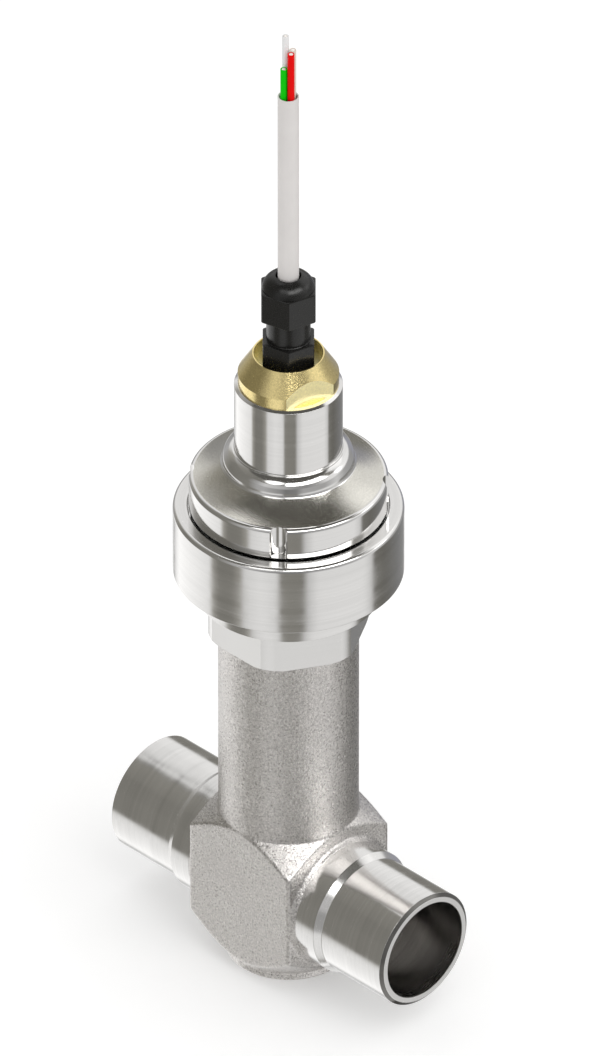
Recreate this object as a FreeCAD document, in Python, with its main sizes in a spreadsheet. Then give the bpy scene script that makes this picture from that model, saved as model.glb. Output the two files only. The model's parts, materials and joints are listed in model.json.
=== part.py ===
"""Electric regulating valve: a straight-through valve body with butt-weld pipe ends, a balanced piston
driven by a screw spindle, a stepper motor in a screwed-on housing, and a cable gland with a short cable.

Millimetres. The origin is the centre of the bottom boss, +Z runs up the valve axis and +X along the pipe
axis, out of the outlet. The valve is shown closed, with the piston on its seat.
"""
import FreeCAD, Part
import math
import os
import re

import Sketcher

# Every size that can be chosen by itself, in millimetres or degrees, or a count.
SIZES = [
    # valve body, outside
    ("boss_d", 35.8, "round boss under the body"),
    ("boss_height", 2.7, "height of that boss"),
    ("boss_edge", 0.4, "chamfer round the boss"),
    ("block_width", 39.9, "square block, across its faces"),
    ("block_corner_d", 55.8, "circle that the block's corners are turned to"),
    ("corner_height", 29.3, "straight stretch of the block's corner edges"),
    ("shoulder_height", 7.1, "cone from the block's corners up to the tube"),
    ("tube_d", 39.7, "long round tube above the block"),
    ("tube_length", 61.3, "from the cone to the tube's rim"),
    ("pipe_height", 25.9, "pipe axis above the base"),
    ("pipe_d", 34.9, "butt-weld pipe end, outside"),
    ("pipe_wall", 2.7, "wall of the pipe end"),
    ("pipe_reach", 54.3, "valve axis to the pipe's end face"),
    ("weld_bevel", 0.6, "bevel on the pipe's outer edge"),
    ("stub_d", 37.4, "machined boss that the pipe end grows from"),
    ("stub_reach", 28.5, "valve axis to the end of that boss"),
    ("stub_taper", 2.0, "length of the cone from the boss to the pipe"),
    ("root_reach", 1.95, "cast root from the block's face to the machined boss"),
    ("root_rise", 1.15, "how far that root spreads at the face"),
    ("root_round", 2.3, "radius of that root"),
    # valve body, inside
    ("tube_wall", 2.3, "wall of the tube at its screw thread"),
    ("thread_depth", 13.2, "depth of that thread"),
    ("bore_step", 0.95, "ledge between that thread and the bore"),
    ("bridge_rise", 3.6, "top of the bridge wall above the pipe axis"),
    ("bridge_thickness", 6.0, "wall between the two chambers"),
    ("seat_pocket_depth", 3.5, "depth of the pocket that the seat is pressed into"),
    ("pocket_ledge", 1.8, "ledge that the seat stands on, round the hole in the bridge"),
    ("chamber_step", 0.8, "lower chamber wider than that hole, all round"),
    ("floor_thickness", 5.0, "wall below that chamber"),
    ("chamber_round", 4.0, "round at the foot of that chamber"),
    ("passage_start", 27.0, "where the pipe's bore turns into the cast passage"),
    ("passage_turn", 18.3, "where the cast passage reaches its port"),
    ("passage_end", 5.0, "how near the valve axis a passage ends"),
    ("upper_port_rise", 12.4, "upper port's centre above the pipe axis"),
    ("upper_port_width", 24.0, "upper port, across"),
    ("upper_port_height", 12.0, "upper port, up and down"),
    ("lower_port_drop", 11.2, "lower port's centre below the pipe axis"),
    ("lower_port_width", 22.0, "lower port, across"),
    ("lower_port_height", 15.0, "lower port, up and down"),
    # seat, cage and piston
    ("seat_flange", 2.0, "thickness of the seat's flange"),
    ("seat_gap", 0.7, "gap round that flange in the bore"),
    ("seat_ledge", 1.9, "flange beyond the pocket"),
    ("seat_wall", 1.2, "seat inside the hole in the bridge"),
    ("cage_wall", 2.9, "wall of the cage"),
    ("cage_play", 0.1, "gap round the cage in its bore"),
    ("window_sill", 2.0, "foot of the cage below its windows"),
    ("window_height", 10.0, "flow windows, up and down"),
    ("window_width", 8.0, "flow windows, across"),
    ("window_count", 6, "flow windows"),
    ("cage_gasket_thickness", 0.8, "crush gasket on the cage"),
    ("piston_lift", 0.2, "piston's face above the seat when closed"),
    ("piston_length", 34.3, "piston above its sealing face"),
    ("piston_wall", 3.02, "wall round the hollow in the top of the piston"),
    ("piston_cup_depth", 14.0, "depth of that hollow"),
    ("nose_length", 7.2, "throttling nose below the sealing face"),
    ("nose_straight", 3.2, "straight stretch of the nose"),
    ("nose_taper", 2.4, "how much the nose narrows to its tip"),
    ("seal_width", 1.7, "seat seal, across its section"),
    ("seal_height", 1.8, "seat seal, up and down"),
    ("seal_inset", 0.3, "rim between the nose and the seat seal"),
    ("ring_depth", 1.5, "depth of a piston ring's groove"),
    ("ring_width", 2.4, "width of a piston ring's groove"),
    ("lower_ring_rise", 14.3, "lower ring groove above the sealing face"),
    ("upper_ring_rise", 28.3, "upper ring groove above the sealing face"),
    ("balance_hole_d", 3.2, "pressure-balance holes"),
    ("balance_count", 4, "pressure-balance holes"),
    # spindle and its guide
    ("stroke", 13.0, "travel of the spindle"),
    ("rod_d", 8.0, "plain rod of the spindle"),
    ("rod_socket", 16.0, "how far the rod goes into the piston"),
    ("rod_flats", 6.4, "across the two flats that keep the rod from turning"),
    ("flats_length", 26.0, "length of those flats"),
    ("screw_d", 6.0, "spindle's screw thread"),
    ("screw_length", 25.0, "length of that thread"),
    ("pin_d", 2.0, "cross pin that holds the rod in the piston"),
    ("pin_rise", 12.3, "cross pin above the sealing face"),
    ("pin_inset", 0.52, "pin's ends below the piston's surface"),
    ("rod_clearance", 1.0, "rod below the spindle nut when the valve is open"),
    ("rod_play", 0.3, "gap round the rod in the rotor's lower journal"),
    ("bush_d", 16.0, "guide bush"),
    ("bush_flange_d", 20.0, "flange of the guide bush"),
    ("bush_length", 11.0, "bush below its flange"),
    ("bush_flange", 4.7, "thickness of the bush's flange"),
    # bonnet
    ("hex_width", 41.5, "wrench hexagon, across its flats"),
    ("hex_height", 13.2, "height of the hexagon"),
    ("hex_corner_d", 45.8, "circle that the hexagon's corners are turned to"),
    ("hex_bevel", 1.1, "chamfer under the hexagon's corners"),
    ("hex_bevel_angle", 30.0, "slope of that chamfer"),
    ("hex_turn", 30.0, "a wrench flat, from the pipe axis"),
    ("collar_d", 52.6, "collar above the hexagon"),
    ("collar_height", 7.3, "height of the collar"),
    ("ring_d", 65.0, "large ring"),
    ("ring_height", 21.8, "height of the large ring"),
    ("ring_edge", 1.3, "round on the ring's top edge"),
    ("ring_foot_edge", 0.4, "chamfer on the ring's lower edge"),
    ("ring_wall", 4.2, "wall of the ring round its mouth"),
    ("mouth_depth", 3.7, "depth of the mouth"),
    ("mouth_ledge", 2.25, "ledge in the mouth, under the gasket"),
    ("mouth_edge", 0.3, "round on the mouth's edge"),
    ("spigot_length", 12.0, "threaded spigot below the hexagon"),
    ("spigot_edge", 0.5, "chamfer on the spigot's end"),
    ("o_ring_width", 2.4, "groove for the bonnet's O-ring"),
    ("o_ring_depth", 1.6, "depth of that groove"),
    ("o_ring_drop", 0.8, "that groove below the hexagon"),
    ("floor_rise", 4.1, "motor space's floor above the collar"),
    ("bearing_step", 1.0, "bearing pocket deeper than the bearing"),
    ("bush_step", 5.0, "bearing seat above the bush's seat"),
    # motor housing
    ("gasket_thickness", 0.8, "gasket under the motor housing"),
    ("disc_gap", 0.3, "gap round the motor housing's disc in the mouth"),
    ("disc_lift", 0.5, "disc above the ring's top face"),
    ("disc_foot_round", 0.5, "round on the disc's lower edge"),
    ("disc_height", 9.8, "height of the disc"),
    ("rim_round", 1.3, "round on the disc's top edge"),
    ("flare_height", 4.5, "hollow flare above the disc's rim"),
    ("flare_round", 34.0, "radius of that hollow"),
    ("crease_height", 1.0, "fillet between the flare and the shoulder"),
    ("crease_width", 0.5, "width of that fillet"),
    ("crease_round", 1.3, "radius of that fillet"),
    ("shoulder_width", 2.7, "width of the shoulder at the foot of the neck"),
    ("shoulder_lip", 0.65, "ledge between the shoulder and the neck"),
    ("shoulder_rise", 4.1, "height of the shoulder"),
    ("shoulder_round", 4.6, "radius of the shoulder"),
    ("neck_d", 30.5, "neck"),
    ("neck_height", 21.7, "height of the neck"),
    ("neck_edge", 0.5, "height of the chamfer on the neck's rim"),
    ("neck_bevel", 1.05, "width of that chamfer"),
    ("notch_round", 2.92, "radius of a spanner notch"),
    ("notch_depth", 1.5, "depth of a spanner notch"),
    ("notch_count", 4, "spanner notches"),
    ("notch_turn", 39.3, "first notch from the pipe axis"),
    ("skirt_wall", 3.4, "wall of the threaded skirt"),
    ("skirt_end_gap", 0.5, "skirt's end above the motor space's floor"),
    ("chamber_floor", 1.7, "wall between the top bearing and the lead chamber"),
    ("lead_chamber_height", 7.5, "lead chamber below the header"),
    ("header_ledge", 1.05, "ledge that the header stands on"),
    ("lead_hole_d", 2.2, "holes for the motor's leads"),
    ("lead_inset", 1.4, "those holes inside the lead chamber's wall"),
    ("vent_d", 8.0, "hole above the top bearing"),
    # rotor
    ("rotor_foot_gap", 0.4, "rotor's foot above the bearing seat"),
    ("hub_shoulder", 2.0, "hub's shoulder on the lower bearing"),
    ("hub_shoulder_d", 14.8, "that shoulder"),
    ("hub_collar_d", 18.0, "collar that carries the magnet"),
    ("hub_collar", 1.5, "thickness of that collar"),
    ("hub_core_d", 13.8, "core inside the magnet"),
    ("magnet_d", 23.6, "ring magnet"),
    ("magnet_height", 21.0, "height of the magnet"),
    ("nut_d", 10.0, "spindle nut in the hub"),
    ("nut_length", 10.0, "length of the nut"),
    ("cap_flange", 1.5, "flange of the rotor's cap"),
    ("cap_dome_d", 10.8, "dome of the rotor's cap"),
    ("cap_dome_height", 2.3, "height of the dome"),
    ("cap_bore_d", 8.4, "hollow of the cap"),
    ("cap_roof", 1.1, "wall over that hollow"),
    ("cap_seat_d", 6.0, "seat of the top bearing on the cap"),
    ("cap_seat", 0.5, "height of that seat"),
    # bearings
    ("low_bore_d", 12.0, "lower bearing, bore"),
    ("low_od", 24.0, "lower bearing, outside"),
    ("low_width", 6.0, "lower bearing, width"),
    ("low_ball_d", 3.2, "lower bearing, balls"),
    ("low_ball_count", 9, "lower bearing, balls"),
    ("top_bore_d", 4.0, "top bearing, bore"),
    ("top_od", 13.0, "top bearing, outside"),
    ("top_width", 5.0, "top bearing, width"),
    ("top_ball_d", 2.4, "top bearing, balls"),
    ("top_ball_count", 7, "top bearing, balls"),
    ("race_play", 0.05, "gap between a ball and its race"),
    ("land_share", 0.8, "a ring's land, as a share of the ball's radius from the pitch circle"),
    # stator
    ("stator_gap", 0.1, "stator's gap in the skirt"),
    ("spacer_height", 2.0, "insulating spacer under the stator"),
    ("stack_height", 11.0, "one of the two stator stacks"),
    ("cup_wall", 1.5, "wall and plates of a stator cup"),
    ("pole_gap", 0.4, "air gap round the magnet"),
    ("pole_thickness", 1.0, "claw poles"),
    ("pole_count", 12, "claw poles on one plate"),
    ("pole_width", 2.6, "one claw pole"),
    ("bobbin_wall", 0.8, "walls of a coil's bobbin"),
    ("coil_gap", 0.2, "gap round a bobbin"),
    ("winding_inset", 0.4, "bobbin's flange beyond the winding"),
    ("cover_thickness", 1.5, "stator's cover"),
    ("cover_rim", 1.1, "cover inside the circle of the leads"),
    # sealed header and adapter
    ("header_ring_wall", 2.35, "wall of the header's steel ring"),
    ("header_height", 3.0, "height of the header"),
    ("header_pin_d", 1.0, "header pins"),
    ("header_pin_circle_d", 13.0, "circle of the pins"),
    ("header_pin_tail", 2.0, "pin below the header"),
    ("header_pin_head", 3.0, "pin above the header"),
    ("header_seal_height", 1.0, "seal on the header"),
    ("header_seal_wall", 2.6, "seal on the header, across"),
    ("band_height", 3.5, "height of the adapter's round band"),
    ("band_ledge", 1.15, "band beyond the screw thread in the neck"),
    ("cone_height", 6.5, "cone of the adapter"),
    ("cone_taper", 4.1, "how much the cone narrows to its rim"),
    ("recess_rim", 0.4, "rim round the recess for the gland"),
    ("recess_depth", 3.8, "depth of the recess"),
    ("flat_depth", 2.2, "depth of the adapter's two spanner flats"),
    ("flats_turn", -15.0, "those flats from the pipe axis"),
    ("adapter_wall", 3.55, "wall round the chamber in the adapter"),
    ("adapter_web", 7.5, "threaded wall under the recess"),
    # cable gland
    ("gland_thread_d", 12.0, "gland's lower thread"),
    ("gland_thread_length", 8.2, "length of that thread"),
    ("washer_thickness", 1.2, "sealing washer"),
    ("washer_d", 14.0, "sealing washer"),
    ("gland_hex_width", 14.4, "gland's lower hexagon, across its flats"),
    ("gland_hex_height", 7.9, "height of that hexagon"),
    ("gland_turn", -15.0, "gland's flats from the pipe axis"),
    ("gland_neck_d", 12.4, "gland's upper thread"),
    ("finger_height", 5.2, "clamping fingers"),
    ("finger_taper", 0.3, "width of the bevel on the fingers' tips"),
    ("finger_bevel", 0.2, "height of that bevel"),
    ("finger_count", 8, "clamping fingers"),
    ("finger_slot", 0.9, "slots between the fingers"),
    ("gland_bore_d", 7.2, "gland's bore"),
    ("seal_pocket_d", 10.0, "pocket of the rubber seal"),
    ("seal_pocket_floor", 2.7, "seal's seat above the hexagon"),
    ("nut_hex_width", 15.2, "gland nut, across its flats"),
    ("nut_rise", 7.7, "gland nut above the hexagon"),
    ("nut_hex_height", 9.4, "height of the nut's hexagon"),
    ("dome_d", 15.0, "foot of the nut's dome"),
    ("dome_height", 3.9, "height of the dome"),
    ("dome_round", 4.9, "radius of the dome"),
    ("cable_hole_d", 7.1, "hole of the nut"),
    ("nut_thread_depth", 7.2, "depth of the nut's thread"),
    # cable
    ("cable_d", 6.0, "cable"),
    ("cable_length", 84.9, "jacket, with the stretch inside the gland"),
    ("cable_entry", 3.6, "jacket's lower end below the gland's upper thread"),
    ("core_d", 1.95, "insulated cores"),
    ("core_circle_d", 2.9, "circle of the cores"),
    ("core_count", 4, "insulated cores, pins and leads"),
    ("core_turn", -13.7, "red core from the pipe axis"),
    ("red_length", 14.9, "red core beyond the jacket"),
    ("green_length", 9.6, "green core beyond the jacket"),
    ("white_length", 19.3, "white core beyond the jacket"),
    ("grey_length", 15.0, "fourth core beyond the jacket"),
    ("lead_d", 1.2, "motor's leads"),
    ("lead_stub", 1.0, "straight end of a lead"),
    # fits
    ("fit", 0.05, "gap of a screwed or seated fit"),
    ("press", 0.02, "gap of a press fit"),
    ("slide", 0.08, "gap of a sliding or running fit"),
    ("ring_slide", 0.04, "gap between a piston ring and the cage"),
]

# Heights on the valve axis, each worked out from the one below it.
BLOCK_LOW = "(boss_height + (block_corner_d - boss_d) / 2)"
BLOCK_HIGH = f"({BLOCK_LOW} + corner_height)"
TUBE_BASE = f"({BLOCK_HIGH} + shoulder_height)"
TUBE_TOP = f"({TUBE_BASE} + tube_length)"
HEX_TOP = f"({TUBE_TOP} + hex_height)"
COLLAR_TOP = f"({HEX_TOP} + collar_height)"
RING_TOP = f"({COLLAR_TOP} + ring_height)"
BRIDGE_TOP = "(pipe_height + bridge_rise)"
SEAT_TOP = f"({BRIDGE_TOP} + seat_flange)"
SPIGOT_END = f"({TUBE_TOP} - spigot_length)"
CAGE_TOP = f"({SPIGOT_END} - cage_gasket_thickness)"
PISTON_FACE = f"({SEAT_TOP} + piston_lift)"
PISTON_TOP = f"({PISTON_FACE} + piston_length)"
CUP_FLOOR = f"({PISTON_TOP} - piston_cup_depth)"
ROD_FOOT = f"({CUP_FLOOR} - rod_socket)"
MOTOR_FLOOR = f"({COLLAR_TOP} + floor_rise)"
BEARING_SEAT = f"({MOTOR_FLOOR} - low_width - bearing_step)"
BUSH_SEAT = f"({BEARING_SEAT} - bush_step)"
HUB_FOOT = f"({BEARING_SEAT} + rotor_foot_gap)"
HUB_SHOULDER = f"({BEARING_SEAT} + low_width)"
HUB_COLLAR = f"({HUB_SHOULDER} + hub_shoulder)"
MAGNET_BASE = f"({HUB_COLLAR} + hub_collar)"
MAGNET_TOP = f"({MAGNET_BASE} + magnet_height)"
ROD_TOP = f"({HUB_COLLAR} - stroke - rod_clearance)"
SCREW_TOP = f"({ROD_TOP} + screw_length)"
CAP_FLANGE_TOP = f"({MAGNET_TOP} + cap_flange)"
CAP_DOME_TOP = f"({CAP_FLANGE_TOP} + cap_dome_height)"
TOP_BEARING_BASE = f"({CAP_DOME_TOP} + cap_seat)"
TOP_BEARING_TOP = f"({TOP_BEARING_BASE} + top_width)"
CHAMBER_FLOOR = f"({TOP_BEARING_TOP} + chamber_floor)"
HEADER_BASE = f"({CHAMBER_FLOOR} + lead_chamber_height)"
HEADER_TOP = f"({HEADER_BASE} + header_height)"
PIN_FOOT = f"({HEADER_BASE} - header_pin_tail)"
PIN_HEAD = f"({HEADER_TOP} + header_pin_head)"
ADAPTER_FOOT = f"({HEADER_TOP} + header_seal_height)"
MOUTH_FLOOR = f"({RING_TOP} - mouth_depth)"
HOUSING_SEAT = f"({MOUTH_FLOOR} + gasket_thickness)"
SKIRT_END = f"({MOTOR_FLOOR} + skirt_end_gap)"
DISC_LOW = f"({RING_TOP} + disc_lift)"
DISC_RIM = f"({DISC_LOW} + disc_height)"
FLARE_TOP = f"({DISC_RIM} + flare_height)"
CREASE = f"({FLARE_TOP} + crease_height)"
SHOULDER_TOP = f"({CREASE} + shoulder_rise)"
NECK_TOP = f"({SHOULDER_TOP} + neck_height)"
BAND_TOP = f"({NECK_TOP} + band_height)"
CONE_TOP = f"({BAND_TOP} + cone_height)"
RECESS_FLOOR = f"({CONE_TOP} - recess_depth)"
WEB_FOOT = f"({RECESS_FLOOR} - adapter_web)"
GLAND_SEAT = f"({RECESS_FLOOR} + washer_thickness)"
GLAND_HEX_TOP = f"({GLAND_SEAT} + gland_hex_height)"
SEAL_SEAT = f"({GLAND_HEX_TOP} + seal_pocket_floor)"
NUT_BASE = f"({GLAND_HEX_TOP} + nut_rise)"
NUT_HEX_TOP = f"({NUT_BASE} + nut_hex_height)"
DOME_TOP = f"({NUT_HEX_TOP} + dome_height)"
THREAD_ROOF = f"({NUT_BASE} + nut_thread_depth)"
FINGER_TOP = f"({THREAD_ROOF} + finger_bevel)"
CABLE_FOOT = f"({GLAND_HEX_TOP} - cable_entry)"
CABLE_END = f"({CABLE_FOOT} + cable_length)"
STACK_BASE = f"({MOTOR_FLOOR} + spacer_height)"
STACK_MIDDLE = f"({STACK_BASE} + stack_height)"
STACK_TOP = f"({STACK_MIDDLE} + stack_height)"
CEILING = f"({STACK_TOP} + cover_thickness)"

# Radii that several pieces share.
THREAD_R = "(tube_d / 2 - tube_wall)"
BORE_R = f"({THREAD_R} - bore_step)"
FLANGE_R = f"({BORE_R} - seat_gap)"
POCKET_R = f"({FLANGE_R} - seat_ledge)"
BRIDGE_HOLE_R = f"({POCKET_R} - pocket_ledge)"
PORT_R = f"({BRIDGE_HOLE_R} - seat_wall)"
CHAMBER_R = f"({BRIDGE_HOLE_R} + chamber_step)"
CAGE_OUTER = f"({BORE_R} - cage_play)"
CAGE_INNER = f"({CAGE_OUTER} - cage_wall)"
PISTON_R = f"({CAGE_INNER} - slide)"
CUP_R = f"({PISTON_R} - piston_wall)"
NOSE_R = f"({PORT_R} - cage_play)"
NOSE_TIP_R = f"({NOSE_R} - nose_taper)"
MOUTH_R = "(ring_d / 2 - ring_wall)"
SKIRT_R = f"({MOUTH_R} - mouth_ledge)"
DISC_R = f"({MOUTH_R} - disc_gap)"
SHOULDER_TOP_R = "(neck_d / 2 + shoulder_lip)"
SHOULDER_R = f"({SHOULDER_TOP_R} + shoulder_width)"
FLARE_TOP_R = f"({SHOULDER_R} + crease_width)"
BAND_R = "(neck_d / 2 - neck_bevel)"
CONE_TOP_R = f"({BAND_R} - cone_taper)"
NECK_THREAD_R = f"({BAND_R} - band_ledge)"
LEAD_CHAMBER_R = f"({NECK_THREAD_R} - header_ledge)"
LEAD_R = f"({LEAD_CHAMBER_R} - lead_inset)"
ADAPTER_CHAMBER_R = f"({NECK_THREAD_R} - adapter_wall)"
ROD_BORE_R = "(rod_d / 2 + rod_play)"
SKIRT_OUTER = f"({SKIRT_R} - fit)"
SKIRT_INNER = f"({SKIRT_OUTER} - skirt_wall)"
STATOR_R = f"({SKIRT_INNER} - stator_gap)"
POLE_R = "(magnet_d / 2 + pole_gap)"
BOBBIN_INNER = f"({POLE_R} + pole_thickness + coil_gap)"
BOBBIN_OUTER = f"({STATOR_R} - cup_wall - coil_gap)"
HEADER_R = f"({NECK_THREAD_R} - fit)"
GLASS_R = f"({HEADER_R} - header_ring_wall)"

doc = FreeCAD.newDocument("regulating_valve")
sheet = doc.addObject("Spreadsheet::Sheet", "sizes")
parts = []


def fill_sheet():
    """Puts each size in a cell of its own, under its name."""
    for row, (alias, size, meaning) in enumerate(SIZES, start=1):
        sheet.set(f"A{row}", meaning)
        sheet.set(f"B{row}", str(size))
        sheet.setAlias(f"B{row}", alias)
    doc.recompute()


def value(text):
    """The number that an expression of sizes stands for."""
    return float(sheet.evalExpression(text))


def bound(text):
    """The same expression as another object reads it from the sheet."""
    names = {alias for alias, _, _ in SIZES}
    return re.sub(r"[a-z_]+", lambda word: f"sizes.{word[0]}" if word[0] in names else word[0], text)


def new_body(name, in_several_pieces=False):
    """A body for one sub-part, listed for the export."""
    body = doc.addObject("PartDesign::Body", name)
    body.Label = name
    body.AllowCompound = in_several_pieces
    parts.append(body)
    return body


def origin_feature(body, role):
    return next(item for item in body.Origin.OriginFeatures if item.Role == role)


def new_sketch(body, name, plane, shift=("0", "0", "0"), turn=None):
    """A sketch on one of the body's own planes, shifted and turned in its own axes."""
    sketch = body.newObject("Sketcher::SketchObject", f"{body.Name}_{name}")
    sketch.AttachmentSupport = [(origin_feature(body, plane), "")]
    sketch.MapMode = "FlatFace"
    for axis, text in zip("xyz", shift):
        if text != "0":
            sketch.setExpression(f"AttachmentOffset.Base.{axis}", bound(text))
    if turn:
        sketch.AttachmentOffset = FreeCAD.Placement(
            sketch.AttachmentOffset.Base, FreeCAD.Rotation(FreeCAD.Vector(0, 0, 1), 1)
        )
        sketch.setExpression("AttachmentOffset.Rotation.Angle", bound(turn))
    return sketch


def hold(sketch, geometry, end, axis, text):
    """Binds one coordinate of a point in a sketch to the sheet."""
    number = value(text)
    if abs(number) < 1e-9 and text == "0":
        sketch.addConstraint(Sketcher.Constraint("PointOnObject", geometry, end, -2 if axis == "X" else -1))
        return
    index = sketch.addConstraint(Sketcher.Constraint(f"Distance{axis}", -1, 1, geometry, end, number))
    name = f"{axis.lower()}_{geometry}_{end}"
    sketch.renameConstraint(index, name)
    sketch.setExpression(f"Constraints.{name}", bound(text))


def hold_length(sketch, kind, geometry, text):
    """Binds a radius or a line's length in a sketch to the sheet."""
    index = sketch.addConstraint(Sketcher.Constraint(kind, geometry, value(text)))
    name = f"size_{geometry}"
    sketch.renameConstraint(index, name)
    sketch.setExpression(f"Constraints.{name}", bound(text))


def arc_between(start, end, radius, leftward):
    """The shorter arc between two points, with its centre to the left or right of the way there."""
    chord = end - start
    reach = math.sqrt(max(radius**2 - chord.Length**2 / 4, 0))
    side = FreeCAD.Vector(-chord.y, chord.x, 0).normalize() * (1 if leftward else -1)
    centre = (start + end) / 2 + side * reach
    first, last = (start, end) if leftward else (end, start)
    low, high = (math.atan2(point.y - centre.y, point.x - centre.x) for point in (first, last))
    if high < low:
        high += 2 * math.pi
    return Part.ArcOfCircle(Part.Circle(centre, FreeCAD.Vector(0, 0, 1), radius), low, high)


def outline(body, name, corners, plane="XZ_Plane", shift=("0", "0", "0"), turn=None, closed=True):
    """An outline whose corners are bound to the sheet, closed unless it is the path of a wire.

    A corner is (across, up), or (across, up, side, radius) where an arc of that radius leads to it. The side
    says whether that arc turns left, which bulges out on an outline that runs anticlockwise, or right.
    """
    sketch = new_sketch(body, name, plane, shift, turn)
    points = [FreeCAD.Vector(value(corner[0]), value(corner[1]), 0) for corner in corners]
    count = len(points)
    sides = count if closed else count - 1
    ends = []
    for index in range(sides):
        start = points[index]
        following = (index + 1) % count
        arc = corners[following][2:]
        if arc:
            side, radius = arc
            sketch.addGeometry(arc_between(start, points[following], value(radius), side == "left"), False)
            ends.append((1, 2) if side == "left" else (2, 1))
        else:
            sketch.addGeometry(Part.LineSegment(start, points[following]), False)
            ends.append((1, 2))
    for index in range(sides if closed else sides - 1):
        following = (index + 1) % count
        sketch.addConstraint(
            Sketcher.Constraint("Coincident", index, ends[index][1], following, ends[following][0])
        )
    for index, corner in enumerate(corners):
        side, end = (index, ends[index][0]) if index < sides else (index - 1, ends[index - 1][1])
        hold(sketch, side, end, "X", corner[0])
        hold(sketch, side, end, "Y", corner[1])
    for index in range(sides):
        arc = corners[(index + 1) % count][2:]
        if arc:
            hold_length(sketch, "Radius", index, arc[1])
    return sketch


def circle(body, name, across, up, radius, plane="XY_Plane", shift=("0", "0", "0"), turn=None):
    """A circle whose centre and radius are bound to the sheet."""
    sketch = new_sketch(body, name, plane, shift, turn)
    centre = FreeCAD.Vector(value(across), value(up), 0)
    sketch.addGeometry(Part.Circle(centre, FreeCAD.Vector(0, 0, 1), value(radius)), False)
    hold(sketch, 0, 3, "X", across)
    hold(sketch, 0, 3, "Y", up)
    hold_length(sketch, "Radius", 0, radius)
    return sketch


def oval(body, name, up, width, height, plane, shift):
    """An ellipse centred over the plane's upright axis, wider than it is high."""
    sketch = new_sketch(body, name, plane, shift)
    centre = FreeCAD.Vector(0, value(up), 0)
    side = centre + FreeCAD.Vector(value(width) / 2, 0, 0)
    top = centre + FreeCAD.Vector(0, value(height) / 2, 0)
    sketch.addGeometry(Part.Ellipse(side, top, centre), False)
    sketch.exposeInternalGeometry(0)
    sketch.addConstraint(Sketcher.Constraint("Horizontal", 1))
    hold_length(sketch, "Distance", 1, width)
    hold_length(sketch, "Distance", 2, height)
    hold(sketch, 0, 3, "X", "0")
    hold(sketch, 0, 3, "Y", up)
    return sketch


def feature(body, kind, name, sketch):
    item = body.newObject(f"PartDesign::{kind}", f"{body.Name}_{name}")
    item.Profile = sketch
    return item


def turned(body, name, corners, axis="V_Axis", cut=False, shift=("0", "0", "0")):
    """Turns an outline about the upright axis of its sketch, or about the axis that lies across it."""
    sketch = outline(body, name + "_outline", corners, shift=shift)
    item = feature(body, "Groove" if cut else "Revolution", name, sketch)
    item.ReferenceAxis = (sketch, [axis])
    item.Angle = 360
    return item


def cut_through(body, name, sketch, depth, upward=False):
    """Cuts a sketch's outline into the body, down from the sketch or up from it."""
    item = feature(body, "Pocket", name, sketch)
    item.Length = value(depth)
    item.setExpression("Length", bound(depth))
    item.Reversed = upward
    return item


def repeat_round(body, name, item, count):
    """Repeats a feature evenly about the upright axis."""
    pattern = body.newObject("PartDesign::PolarPattern", f"{body.Name}_{name}")
    pattern.Originals = [item]
    pattern.Axis = (origin_feature(body, "Z_Axis"), [""])
    pattern.Angle = 360
    if isinstance(count, int):
        pattern.Occurrences = count
    else:
        pattern.Occurrences = round(value(count))
        pattern.setExpression("Occurrences", bound(count))
    body.Tip = pattern
    return pattern


def mirror_ends(body, name, item):
    """Repeats a feature on the other side of the valve axis."""
    mirror = body.newObject("PartDesign::Mirrored", f"{body.Name}_{name}")
    mirror.Originals = [item]
    mirror.MirrorPlane = (origin_feature(body, "YZ_Plane"), [""])
    body.Tip = mirror
    return mirror


def ring_corners(inner, outer, low, high):
    """The section of a plain ring or disc."""
    return [(inner, low), (outer, low), (outer, high), (inner, high)]


def plain_ring(name, inner, outer, low, high):
    body = new_body(name)
    turned(body, "ring", ring_corners(inner, outer, low, high))
    return body


def cut_flats(body, name, across, outside, low, high, turn, count):
    """Mills flats between two heights; outside is a radius that clears the blank."""
    near, far = f"({across}) / 2", f"({outside}) * 1.5"
    corners = [(near, f"-{far}"), (far, f"-{far}"), (far, far), (near, far)]
    sketch = outline(body, name + "_outline", corners, "XY_Plane", ("0", "0", high), turn)
    item = cut_through(body, name, sketch, f"{high} - {low}")
    repeat_round(body, name + "s", item, count)


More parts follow.
